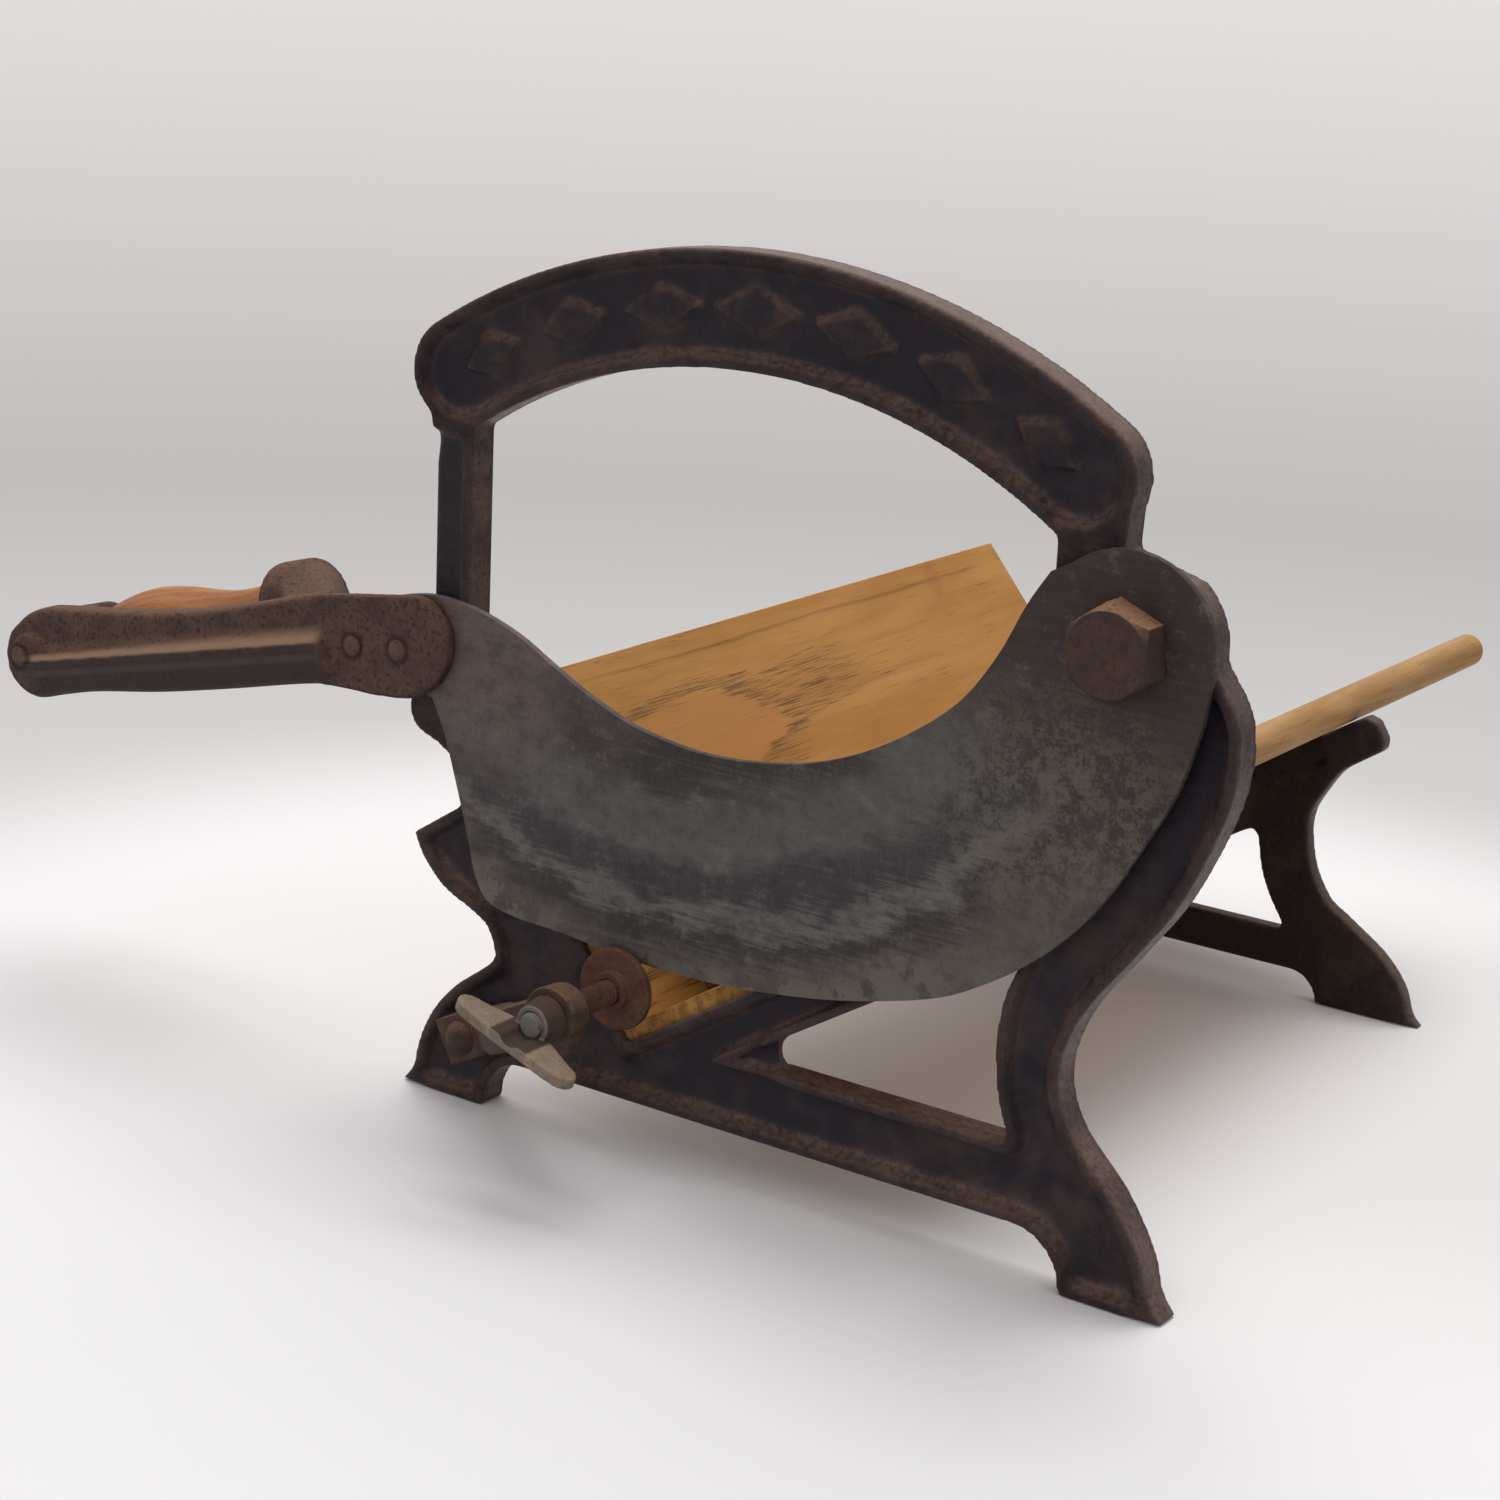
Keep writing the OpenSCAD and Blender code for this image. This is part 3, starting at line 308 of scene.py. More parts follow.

# %% [markdown]
# ## Casting dirt and painted shade
# Tan dust lies where a surface faces up, crumbs of it stick all over, and bare iron keeps the dark
# pocks of the sand mould. Inner corners get a painted shade, and outer edges show wear with a
# painted highlight. That could be baked into a map, but the Geometry node's Pointiness gives both
# at once: above a half on an edge, below it in a corner.

# %% Casting dirt and painted shade
def casting_dirt_and_shade(tree, facing, noise, tones, colour, proud, flank):
    lift = plus(tree, facing[2], wobble(tree, noise["patch"], 0.9))
    dust = times(tree, mask(tree, lift, 0.1, 0.85), mask(tree, noise["sand"], 0.28, 0.66))
    colour = lay(tree, colour, tones["dust"], dust, 0.8)
    crumb = mask(tree, grain(tree, spot(tree), 700, 3, 0.6), 0.71, 0.76)
    colour = lay(tree, colour, tones["dust"], crumb, 0.6)
    pock = mask(tree, grain(tree, spot(tree), 560, 4, 0.75), 0.5, 0.64)
    bare_iron = most(tree, flank, times(tree, proud, 0.6))
    colour = lay(tree, colour, tones["pock_and_shade"], times(tree, pock, bare_iron), 0.55)
    colour = lay(tree, colour, tones["panel"], mask(tree, noise["pit"], 0.56, 0.76), 0.6)
    bend = plus(tree, put(tree, "NewGeometry").outputs["Pointiness"], wobble(tree, noise["sand"], 0.06))
    # Outer edges: wear, with a painted highlight along the rims.
    colour = lay(tree, colour, tones["wear_and_highlight"], mask(tree, bend, 0.515, 0.58), 0.7)
    # Inner corners: painted shade.
    return lay(tree, colour, tones["pock_and_shade"], mask(tree, bend, 0.488, 0.435), 0.85)


print("casting dirt ready")

# %% [markdown]
# ## Casting finishes
# The front frame and the rear stand are the same kind of casting, the stand blacker and thinner.
# Two materials could be wired, but one function makes both, with the tones and the thickness as
# values, so that they age alike. The relief is the grain of the sand mould, stronger on the proud
# iron than under the skin of the panels.

# %% Casting finishes
DULL = 0.16


def casting_finish(name, tones, middle, web, half):
    surface, tree, shader = finish_named(name, 0.1, DULL)
    where, facing = axes(tree)
    noise = dict(pit=grain(tree, spot(tree), 1300, 5, 0.7), sand=grain(tree, spot(tree), 420, 5, 0.65),
                 patch=grain(tree, spot(tree), 60, 6, 0.65), cloud=grain(tree, spot(tree), 16, 4, 0.6))
    colour, proud, flank = casting_skin(tree, where, facing, noise, tones, middle, web, half)
    colour = casting_dirt_and_shade(tree, facing, noise, tones, colour, proud, flank)
    roughness = mask(tree, plus(tree, noise["sand"], times(tree, proud, 0.5)), -0.3, 1.5)
    relief = weighed(tree, noise["pit"], 0.35, noise["sand"], 0.65)
    relief = times(tree, relief, plus(tree, 0.35, times(tree, proud, 0.65)))
    close(tree, shader, colour, roughness, relief, depth=0.0018, strength=0.9)
    return surface


frame_middle = place(0, 7.5, 0).y
stand_middle = place(0, 335.75, 0).y
frame_tones = dict(panel=tone(0.0205, 0.0165, 0.0235), rim=tone(0.058, 0.037, 0.034),
                   wear_and_highlight=tone(0.122, 0.086, 0.074), dust=tone(0.18, 0.11, 0.082),
                   pock_and_shade=tone(0.006, 0.0042, 0.0044))
stand_tones = dict(panel=tone(0.0055, 0.0042, 0.0043), rim=tone(0.064, 0.042, 0.036),
                   wear_and_highlight=tone(0.075, 0.049, 0.038), dust=tone(0.14, 0.092, 0.066),
                   pock_and_shade=tone(0.003, 0.0022, 0.0022))
frame_iron = casting_finish("frame_iron", frame_tones, frame_middle, web=0.00225, half=0.0075)
stand_iron = casting_finish("stand_iron", stand_tones, stand_middle, web=0.002, half=0.0045)
print("casting finishes", frame_iron.name, stand_iron.name)

# %% [markdown]
# ## Blade bands
# The blade is tarnished steel, worn in bands that follow its cutting edge: a dark back, a grey
# body, a blue black streak and a brown edge. The bands could be painted along a curve. A colour
# ramp over the distance from one high point is simpler, because the edge is close to an arc about
# that point, and noise added to the distance makes the bands wander.

# %% Blade bands
BAND_CENTRE, BAND_REACH = (0.06, 0.262), (0.099, 0.09)
BAND_START, BAND_END = 1.36, 2.5
BLADE_BANDS = [(0.0, tone(0.034, 0.025, 0.022)), (0.14, tone(0.04, 0.031, 0.028)),
               (0.25, tone(0.094, 0.084, 0.077)), (0.42, tone(0.1, 0.094, 0.089)),
               (0.52, tone(0.042, 0.039, 0.045)), (0.6, tone(0.04, 0.037, 0.042)),
               (0.67, tone(0.15, 0.138, 0.122)), (0.74, tone(0.034, 0.028, 0.026)),
               (0.84, tone(0.078, 0.062, 0.055)), (1.0, tone(0.105, 0.087, 0.076))]


def blade_bands(tree, x, z, noise):
    wander = weighed(tree, noise["cloud"], 0.42, noise["scratch"], 0.22)
    wander = plus(tree, wander, wobble(tree, noise["patch"], 0.16))
    depth = plus(tree, away(tree, x, z, BAND_CENTRE, BAND_REACH), wander)
    colour = ramp(tree, span(tree, depth, BAND_START, BAND_END), BLADE_BANDS)
    fleck = mask(tree, weighed(tree, noise["hatch"], 0.35, noise["scratch"], 0.7), 0.5, 0.66)
    return lay(tree, colour, tone(0.16, 0.15, 0.137), fleck, 0.3), depth


print("blade bands", len(BLADE_BANDS))

# %% [markdown]
# ## Blade stains
# Brown stains cover the blade's handle end and its pivot end, a mottled patina lies over all of it,
# and pale and dark blots show near the pivot and along the edge. Each stain could be a decal, but a
# mask of place times noise has no border that shows.

# %% Blade stains
BLOT_AT, BLOT_REACH = (0.216, 0.172), (0.07, 0.05)


def blade_stains(tree, x, z, noise, colour):
    fade = wobble(tree, noise["cloud"], 1.6)
    left = weighed(tree, minus(tree, 0.05, x), 9, minus(tree, z, 0.13), 15)
    colour = mix(tree, mask(tree, plus(tree, left, fade), 0.3, 1.5), colour, tone(0.125, 0.094, 0.083))
    right = weighed(tree, minus(tree, x, 0.18), 15, minus(tree, z, 0.18), 12)
    colour = mix(tree, mask(tree, plus(tree, right, fade), -0.2, 1.0), colour, tone(0.046, 0.031, 0.027))
    patina = grain(tree, spot(tree, (1, 1, 1.3)), 85, 10, 0.82, 0.1)
    colour = lay(tree, colour, tone(0.032, 0.026, 0.026), mask(tree, patina, 0.52, 0.36), 0.5)
    return lay(tree, colour, tone(0.2, 0.182, 0.16), mask(tree, patina, 0.53, 0.66), 0.4)


def blade_blots(tree, x, z, noise, depth, colour):
    near_pivot = mask(tree, away(tree, x, z, BLOT_AT, BLOT_REACH), 1.2, 0.3)
    edge = times(tree, mask(tree, depth, 2.24, 2.42), mask(tree, x, 0.225, 0.15))
    colour = lay(tree, colour, tone(0.16, 0.14, 0.12), edge, 0.65)
    drop = mask(tree, grain(tree, spot(tree), 95, 6, 0.66), 0.53, 0.57)
    colour = lay(tree, colour, tone(0.042, 0.035, 0.032), times(tree, drop, edge), 0.75)
    blot = mask(tree, weighed(tree, noise["patch"], 0.7, noise["speck"], 0.5), 0.56, 0.65)
    pale = times(tree, blot, most(tree, near_pivot, times(tree, edge, 0.5)))
    colour = lay(tree, colour, tone(0.15, 0.127, 0.1), pale, 0.7)
    dark = mask(tree, plus(tree, noise["speck"], times(tree, noise["patch"], 0.4)), 0.78, 0.92)
    return lay(tree, colour, tone(0.022, 0.019, 0.018), dark, 0.55)


print("blade stains ready")

# %% [markdown]
# ## Blade finish
# Long scratches run along the blade and fine hatching across it, from years of wiping and whetting.
# An anisotropic gloss could suggest them, but the scratches themselves show close up. Both are
# noise that is squeezed in one direction, which also gives the relief its brushed look.

# %% Blade finish
def blade_finish():
    surface, tree, shader = finish_named("tarnished_blade", 0.35)
    where = axes(tree)[0]
    noise = dict(scratch=grain(tree, spot(tree, (22, 60, 900), (0, math.radians(-4), 0)), 1, 6, 0.72),
                 hatch=grain(tree, spot(tree, (1500, 60, 90)), 1, 4, 0.7),
                 cloud=grain(tree, spot(tree, (1, 1, 1.9)), 30, 8, 0.66, 0.2),
                 patch=grain(tree, spot(tree), 170, 9, 0.76, 0.2),
                 speck=grain(tree, spot(tree), 900, 6, 0.75))
    colour, depth = blade_bands(tree, where[0], where[2], noise)
    colour = blade_stains(tree, where[0], where[2], noise, colour)
    colour = blade_blots(tree, where[0], where[2], noise, depth, colour)
    roughness = mask(tree, plus(tree, noise["scratch"], times(tree, noise["patch"], 0.5)), -0.6, 1.5)
    relief = weighed(tree, noise["scratch"], 0.5, noise["speck"], 0.5)
    close(tree, shader, colour, roughness, relief, depth=0.0002, strength=0.5)
    return surface


blade_steel = blade_finish()
print("blade finish", blade_steel.name)

# %% [markdown]
# ## Rough irons
# The handle, the gauge parts, the bolt and the small fasteners share one recipe with different
# colours: a base tone, a second tone in cloudy patches, small dark pits, dust where the surface
# faces up, and a painted shade, the pit tone laid where the surface faces down. Six separate
# materials could be wired, but one function with values keeps them alike. A `paint` function adds
# what only one piece has.

# %% Rough irons
def rough_iron(name, base, cloud, pit, dust, dust_share, metallic, depth, pits=0.45, paint=None):
    surface, tree, shader = finish_named(name, metallic, DULL)
    where, facing = axes(tree)
    patch = grain(tree, spot(tree), 110, 7, 0.68)
    fine = grain(tree, spot(tree), 1500, 5, 0.7)
    sand = grain(tree, spot(tree), 480, 5, 0.65)
    colour = mix(tree, mask(tree, patch, 0.36, 0.64), base, cloud)
    # Painted shade: the pit tone darkens the faces that point down.
    colour = lay(tree, colour, pit, mask(tree, facing[2], -0.05, -0.5), 0.6)
    lift = plus(tree, facing[2], wobble(tree, patch, 0.7))
    settled = times(tree, mask(tree, lift, 0.2, 0.75), mask(tree, sand, 0.25, 0.6))
    colour = lay(tree, colour, dust, settled, dust_share)
    pock = mask(tree, weighed(tree, sand, 0.7, fine, 0.3), 0.5, 0.62)
    colour = lay(tree, colour, pit, pock, pits)
    if paint:
        colour = paint(tree, where, facing, patch, colour)
    roughness = mask(tree, plus(tree, fine, patch), -0.4, 1.7)
    relief = weighed(tree, fine, 0.35, sand, 0.65)
    close(tree, shader, colour, roughness, relief, depth, strength=0.75)
    return surface


bolt_steel = rough_iron(
    "bolt_steel", base=tone(0.062, 0.039, 0.034), cloud=tone(0.09, 0.055, 0.042),
    pit=tone(0.03, 0.02, 0.017), dust=tone(0.36, 0.192, 0.11), dust_share=0.95, metallic=0.15, depth=0.00015)
bracket_iron = rough_iron(
    "bracket_iron", base=tone(0.06, 0.036, 0.026), cloud=tone(0.1, 0.061, 0.043),
    pit=tone(0.03, 0.022, 0.019), dust=tone(0.2, 0.125, 0.075), dust_share=0.85, metallic=0.1, depth=0.0006)
small_steel = rough_iron(
    "small_steel", base=tone(0.085, 0.07, 0.058), cloud=tone(0.13, 0.105, 0.085),
    pit=tone(0.035, 0.027, 0.023), dust=tone(0.2, 0.15, 0.11), dust_share=0.5, metallic=0.4, depth=0.0002)
print("iron finishes", bolt_steel.name, bracket_iron.name, small_steel.name)

# %% [markdown]
# ## Handle ridge
# The handle is a cast bar with a ridge along its front. Tan dust lies on the slope above the ridge,
# and the face below gets a painted shade with one painted highlight streak. The ridge could be
# unwrapped and painted, but it is a straight line: distance across that line places the tones.

# %% Handle ridge
PIVOT_X, PIVOT_Z, HANDLE_FRONT = 137.4, 233.5, -8.4
RIDGE = place(PIVOT_X - 341.1, HANDLE_FRONT, PIVOT_Z - 57.6)
RIDGE_SLOPE = math.radians(13)


def ridge_tones(tree, where, patch, colour):
    over = minus(tree, where[0], RIDGE.x)
    rise = minus(tree, where[2], RIDGE.z)
    across = minus(tree, times(tree, rise, math.cos(RIDGE_SLOPE)), times(tree, over, math.sin(RIDGE_SLOPE)))
    across = plus(tree, across, wobble(tree, patch, 0.0012))
    along = times(tree, mask(tree, over, 0.002, -0.006), mask(tree, over, -0.172, -0.158))
    front = times(tree, along, mask(tree, where[1], RIDGE.y + 0.003, RIDGE.y + 0.0005))
    spread = plus(tree, 0.0032, times(tree, mask(tree, over, -0.17, 0.0), 0.0038))
    slope = times(tree, mask(tree, across, -0.0006, 0.0008), mask(tree, across, spread, 0.0014))
    # Painted shade on the face below the ridge.
    below = times(tree, mask(tree, across, 0.0004, -0.0012), mask(tree, across, -0.018, -0.014))
    # A painted highlight streak along the face below the ridge.
    streak = mask(tree, size_of(tree, plus(tree, across, 0.0055)), 0.0022, 0.0006)
    colour = lay(tree, colour, tone(0.34, 0.21, 0.138), times(tree, slope, front), 0.95)
    colour = lay(tree, colour, tone(0.038, 0.029, 0.029), times(tree, below, front), 0.65)
    return lay(tree, colour, tone(0.1, 0.08, 0.074), times(tree, streak, front), 0.45)


print("ridge starts at", [round(v, 4) for v in RIDGE])

# %% [markdown]
# ## Handle iron
# Two rivets hold the handle to the blade, and a pin ends the grip's rod. A ring of painted shadow
# lies round each head, and the head itself is painted lighter. The rings could be grooves in the
# mesh, but the shadow is painted flat. The fasteners' own meshes give the places, so the rings stay
# right wherever these are.

# %% Handle iron
def solid_points(node):
    return [corner.co for corner in frame["nodes"][node].data.vertices]


def head_of(corners):
    """Middle and radius of a round head, from the points of its mesh."""
    wide = [corner.x for corner in corners]
    tall = [corner.z for corner in corners]
    return (min(wide) + max(wide)) / 2, (min(tall) + max(tall)) / 2, (max(wide) - min(wide)) / 2


rivets = solid_points("handle_rivets")
between = head_of(rivets)[0]
HEADS = [head_of([point for point in rivets if point.x < between]),
         head_of([point for point in rivets if point.x >= between]), head_of(solid_points("rod_pin"))]


def handle_tones(tree, where, facing, patch, colour):
    colour = ridge_tones(tree, where, patch, colour)
    for centre_x, centre_z, radius in HEADS:
        out = away(tree, where[0], where[2], (centre_x, centre_z))
        out = plus(tree, out, wobble(tree, patch, 0.0022))
        # A ring of painted shadow round each head.
        ring = times(tree, mask(tree, out, radius - 0.0003, radius + 0.0003),
                     mask(tree, out, radius + 0.0024, radius + 0.0008))
        colour = lay(tree, colour, tone(0.018, 0.013, 0.012), ring, 0.6)
        # The head itself is painted lighter.
        lighter_head = mask(tree, out, radius, radius - 0.0012)
        colour = lay(tree, colour, tone(0.17, 0.115, 0.09), lighter_head, 0.35)
    return colour


handle_iron = rough_iron(
    "handle_iron", base=tone(0.082, 0.048, 0.038), cloud=tone(0.128, 0.079, 0.061),
    pit=tone(0.02, 0.014, 0.013), dust=tone(0.165, 0.088, 0.054), dust_share=0.9, metallic=0.1, depth=0.0018,
    pits=0.8, paint=handle_tones)
print("handle finish", handle_iron.name, "heads", len(HEADS))

# %% [markdown]
# ## Gauge irons
# The gauge screw is rusty along its thread and bare steel at its front end, where it is gripped.
# The wing nut is pale iron with a brown hub whose front is bright. Both could be split into several
# materials, but a mask of place keeps one finish on each piece and no seam between two.

# %% Gauge irons
GAUGE = place(-59.1, 0, 68.3)
SCREW_END = place(0, -54, 0).y
HUB_RADIUS = 0.0085


def bright_end(tree, where, facing, patch, colour):
    front = plus(tree, where[1], times(tree, patch, 0.003))
    return mix(tree, mask(tree, front, SCREW_END + 0.002, SCREW_END), colour, tone(0.2, 0.19, 0.17))


def hub_tones(tree, where, facing, patch, colour):
    out = away(tree, where[0], where[2], (GAUGE.x, GAUGE.z))
    hub = mask(tree, out, HUB_RADIUS + 0.0015, HUB_RADIUS)
    side = mask(tree, size_of(tree, facing[1]), 0.75, 0.45)
    colour = lay(tree, colour, tone(0.066, 0.042, 0.032), times(tree, hub, side), 0.95)
    flat = times(tree, hub, mask(tree, times(tree, facing[1], -1), 0.75, 0.9))
    return mix(tree, times(tree, flat, mask(tree, patch, 0.3, 0.6)), colour, tone(0.17, 0.16, 0.14))


gauge_steel = rough_iron(
    "gauge_steel", base=tone(0.1, 0.046, 0.032), cloud=tone(0.148, 0.07, 0.046),
    pit=tone(0.035, 0.02, 0.016), dust=tone(0.19, 0.1, 0.06), dust_share=0.7, metallic=0.2, depth=0.0003,
    paint=bright_end)
wing_iron = rough_iron(
    "wing_iron", base=tone(0.2, 0.15, 0.11), cloud=tone(0.31, 0.24, 0.178),
    pit=tone(0.08, 0.058, 0.043), dust=tone(0.34, 0.255, 0.18), dust_share=0.6, metallic=0.2, depth=0.0004,
    paint=hub_tones)
print("gauge finishes", gauge_steel.name, wing_iron.name)

# %% [markdown]
# ## Board heart
# The left board shows one smooth orange heart, where the saw met a growth ring flat on, ringed by
# dark open pores, and darker grain at the foot of its front end. Grain like this could be grown
# from the true rings of a trunk, but then the heart would fall where the rings want it. Two
# numbers, one along the board and one up its face, place the heart and its ring where they are on
# the real board.

# %% Board heart
HEART_AT, HEART_REACH = (-0.107, 0.094), (0.062, 0.0215)
TAIL_AT, TAIL_REACH = (-0.02, 0.108), (0.045, 0.013)


def board_heart(tree, along, high, wander, streak):
    """The heart, and the places round it where the pores crowd."""
    heart = plus(tree, away(tree, along, high, HEART_AT, HEART_REACH), wander)
    ring = times(tree, mask(tree, heart, 0.9, 1.05), mask(tree, heart, 1.5, 1.08))
    tail = plus(tree, away(tree, along, high, TAIL_AT, TAIL_REACH), wander)
    crowd = most(tree, ring, times(tree, mask(tree, tail, 1.25, 0.5), 0.75))
    corner = times(tree, mask(tree, along, -0.11, -0.15), mask(tree, high, 0.06, 0.035))
    crowd = most(tree, crowd, times(tree, corner, mask(tree, streak, 0.4, 0.58)))
    return mask(tree, heart, 1.02, 0.88), crowd


print("board heart at", HEART_AT)

# %% [markdown]
# ## Board finish
# The two boards are flat sawn oak with a worn varnish. A picture of oak could be wrapped round
# them, but it would stretch on their ends. Turning the coordinates by the lean of the trough lets
# the grain run along both boards instead: noise stretched along them gives streaks and pores, and a
# thin dark line lies under the top edge.

# %% Board finish
SATIN = 0.28
BED_ANGLE = math.radians(32)
BOARD_FOOT, EDGE_LINE = 0.01415, 0.1375
STAIN_AT, STAIN_REACH = (0.105, 0.135), (0.007, 0.013)
BOARD_PALE, BOARD_DEEP = tone(0.495, 0.247, 0.062), tone(0.405, 0.189, 0.043)
BOARD_BROWN, BOARD_PORE = tone(0.255, 0.114, 0.033), tone(0.085, 0.038, 0.015)
BOARD_HEART, BOARD_STAIN = tone(0.445, 0.196, 0.051), tone(0.34, 0.105, 0.035)


def board_finish():
    surface, tree, shader = finish_named("board_oak", specular=SATIN)
    turned = spot(tree, turn=(0, BED_ANGLE, 0))
    part = put(tree, "SeparateXYZ", {0: turned}).outputs
    along, high = part[1], minus(tree, part[2], BOARD_FOOT)
    cloud = grain(tree, stretched(tree, turned, (60, 9, 60)), 1, 5, 0.6)
    streak = grain(tree, stretched(tree, turned, (260, 9, 260)), 1, 5, 0.62)
    hair = grain(tree, stretched(tree, turned, (1900, 40, 1900)), 1, 4, 0.6)
    wander = wobble(tree, cloud, 1.1)
    heart, crowd = board_heart(tree, along, high, wander, streak)
    colour = mix(tree, mask(tree, cloud, 0.3, 0.7), BOARD_PALE, BOARD_DEEP)
    colour = lay(tree, colour, BOARD_BROWN, mask(tree, streak, 0.5, 0.72), 0.45)
    colour = lay(tree, colour, BOARD_BROWN, crowd, 0.25)
    open_pore = mask(tree, plus(tree, hair, times(tree, crowd, 0.13)), 0.6, 0.7)
    open_pore = times(tree, open_pore, mask(tree, plus(tree, streak, crowd), 0.36, 0.62))
    colour = lay(tree, colour, BOARD_PORE, open_pore, 0.7)
    colour = lay(tree, colour, BOARD_HEART, heart, 0.85)
    under_edge = size_of(tree, minus(tree, plus(tree, high, times(tree, cloud, 0.006)), EDGE_LINE))
    line = times(tree, mask(tree, under_edge, 0.0011, 0.0003), mask(tree, streak, 0.36, 0.5))
    colour = lay(tree, colour, BOARD_PORE, line, 0.35)
    stain = plus(tree, away(tree, along, high, STAIN_AT, STAIN_REACH), wander)
    colour = lay(tree, colour, BOARD_STAIN, mask(tree, stain, 1.3, 0.4), 0.4)
    roughness = mask(tree, plus(tree, hair, cloud), -0.3, 2.0)
    relief = minus(tree, cloud, open_pore)
    close(tree, shader, colour, roughness, relief, depth=0.0003, strength=0.5)
    return surface


board_oak = board_finish()
print("board finish", board_oak.name)

# %% [markdown]
# ## Small woods
# The rod, the pusher and the grip are finer woods. Their grain could be a Wave Texture, but its
# lines are too even. Distance from a leaning trunk line gives faint growth rings that close and
# open along the piece, and noise stretched along it gives the pores.

# %% Small woods
def wood_finish(name, pale, deep, pore, turn, trunk, rings, bends, lean, ring_share, gloss):
    surface, tree, shader = finish_named(name, specular=SATIN)
    where = spot(tree, turn=turn)
    bend = grain(tree, stretched(tree, where, bends), 1, 3, 0.5)
    part = put(tree, "SeparateXYZ", {0: where}).outputs
    across = plus(tree, minus(tree, part[2], trunk[1]), times(tree, bend, 0.018))
    out = plus(tree, minus(tree, part[0], trunk[0]), times(tree, part[1], lean))
    wave = calc(tree, "FRACT", weighed(tree, slant(tree, across, out), rings, bend, 2.2))
    early = mask(tree, size_of(tree, minus(tree, wave, 0.5)), 0.5, 0.2)
    hair = grain(tree, stretched(tree, where, (1300, 45, 1300)), 1, 4, 0.6)
    cloud = grain(tree, stretched(tree, where, (60, 9, 60)), 1, 5, 0.62)
    colour = mix(tree, mask(tree, cloud, 0.3, 0.7), pale, deep)
    colour = lay(tree, colour, pore, times(tree, early, mask(tree, cloud, 0.3, 0.62)), ring_share)
    colour = lay(tree, colour, pore, mask(tree, hair, 0.57, 0.7), 0.6)
    roughness = mask(tree, plus(tree, hair, cloud), -gloss, 2.0)
    relief = minus(tree, cloud, hair)
    close(tree, shader, colour, roughness, relief, depth=0.0002, strength=0.5)
    return surface


# The pusher and the grip lie across the trough, so their grain is turned by this much.
ACROSS = 1.5708
dowel_wood = wood_finish(
    "dowel_wood", tone(0.44, 0.25, 0.095), tone(0.37, 0.195, 0.068), tone(0.19, 0.09, 0.033),
    turn=(0, BED_ANGLE, 0), trunk=(0.5, 0.1), rings=260, bends=(40, 6, 40), lean=0.05, ring_share=0.25,
    gloss=0.3)
pusher_wood = wood_finish(
    "pusher_wood", tone(0.39, 0.215, 0.09), tone(0.3, 0.155, 0.06), tone(0.13, 0.065, 0.028),
    turn=(0, BED_ANGLE, ACROSS), trunk=(0.3, 0.3), rings=150, bends=(14, 5, 14), lean=0.08, ring_share=0.5,
    gloss=0.3)
grip_wood = wood_finish(
    "grip_wood", tone(0.44, 0.19, 0.072), tone(0.33, 0.125, 0.042), tone(0.12, 0.045, 0.02),
    turn=(0, math.radians(16.2), ACROSS), trunk=(0.2, 0.2), rings=200, bends=(20, 7, 20), lean=0.05,
    ring_share=0.35, gloss=0.5)
print("small woods", dowel_wood.name, pusher_wood.name, grip_wood.name)

# %% [markdown]
# ## Merged copies
# A solid comes in as loose triangles, and its own mesh stays as it is. So each dressed piece starts
# as a copy with its points merged, in the finish of its material slot. `only` selects one object
# and nothing else, because operators act on all that is selected. `hand_over` lets the finished
# piece ride on the solid's body and stand in for it.

# %% Merged copies
BODY_OF = {node: body for body, nodes in frame["record"]["behaviour"]["bodies"].items() for node in nodes}
SLOT_OF = {part["node"]: part["material_slot"] for part in frame["record"]["subparts"]}
FINISH = dict(frame_iron=frame_iron, stand_iron=stand_iron, blade_steel=blade_steel, handle_iron=handle_iron,
              bolt_steel=bolt_steel, bracket_iron=bracket_iron, gauge_steel=gauge_steel, wing_iron=wing_iron,
              small_steel=small_steel, board_oak=board_oak, dowel_wood=dowel_wood, pusher_wood=pusher_wood,
              grip_wood=grip_wood)
SAME_POINT = 0.000004


def only(piece):
    if bpy.context.object and bpy.context.object.mode != "OBJECT":
        bpy.ops.object.mode_set(mode="OBJECT")
    bpy.ops.object.select_all(action="DESELECT")
    piece.select_set(True)
    bpy.context.view_layer.objects.active = piece


def merged_copy(node):
    piece = bpy.data.objects.new(node + "_dressed", frame["nodes"][node].data.copy())
    bpy.context.scene.collection.objects.link(piece)
    only(piece)
    piece.data.materials.clear()
    piece.data.materials.append(FINISH[SLOT_OF[node]])
    bpy.ops.object.mode_set(mode="EDIT")
    bpy.ops.mesh.select_all(action="SELECT")
    bpy.ops.mesh.remove_doubles(threshold=SAME_POINT)
    bpy.ops.object.mode_set(mode="OBJECT")
    return piece


def hand_over(piece, *nodes):
    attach(piece, BODY_OF[nodes[0]])
    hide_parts(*nodes)
    print(piece.name, "faces", len(piece.data.polygons))


print("finishes for", len(FINISH), "slots")

# %% [markdown]
# ## Softened pieces
# A real board, blade or bolt has no knife edges. They could be subdivided and creased, but that
# would pull the flat faces out of shape. So the copy's flat triangles are dissolved, a Bevel
# modifier rounds whatever is sharper than the given angle, and weighted normals keep the wide faces
# flat in the light.

# %% Softened pieces
FLAT = math.radians(0.6)
SMOOTH_BELOW = math.radians(40)
BEVEL_WIDTHS = dict(
    blade=0.0005, left_board=0.0014, bed_board=0.001, pusher_block=0.0015, pusher_rod=0.0006,
    pivot_bolt=0.0006, pivot_nut=0.0006, pivot_washer=0.0005, spring_washer=0.0005, handle_rivets=0.0003,
    rod_pin=0.0003, grip_rod=0.0004, bracket_bolt=0.0004, bracket_nut=0.0006, gauge_disc=0.0005,
    left_board_screws=0.0004, bed_screws=0.0004, pusher_screw=0.0004)


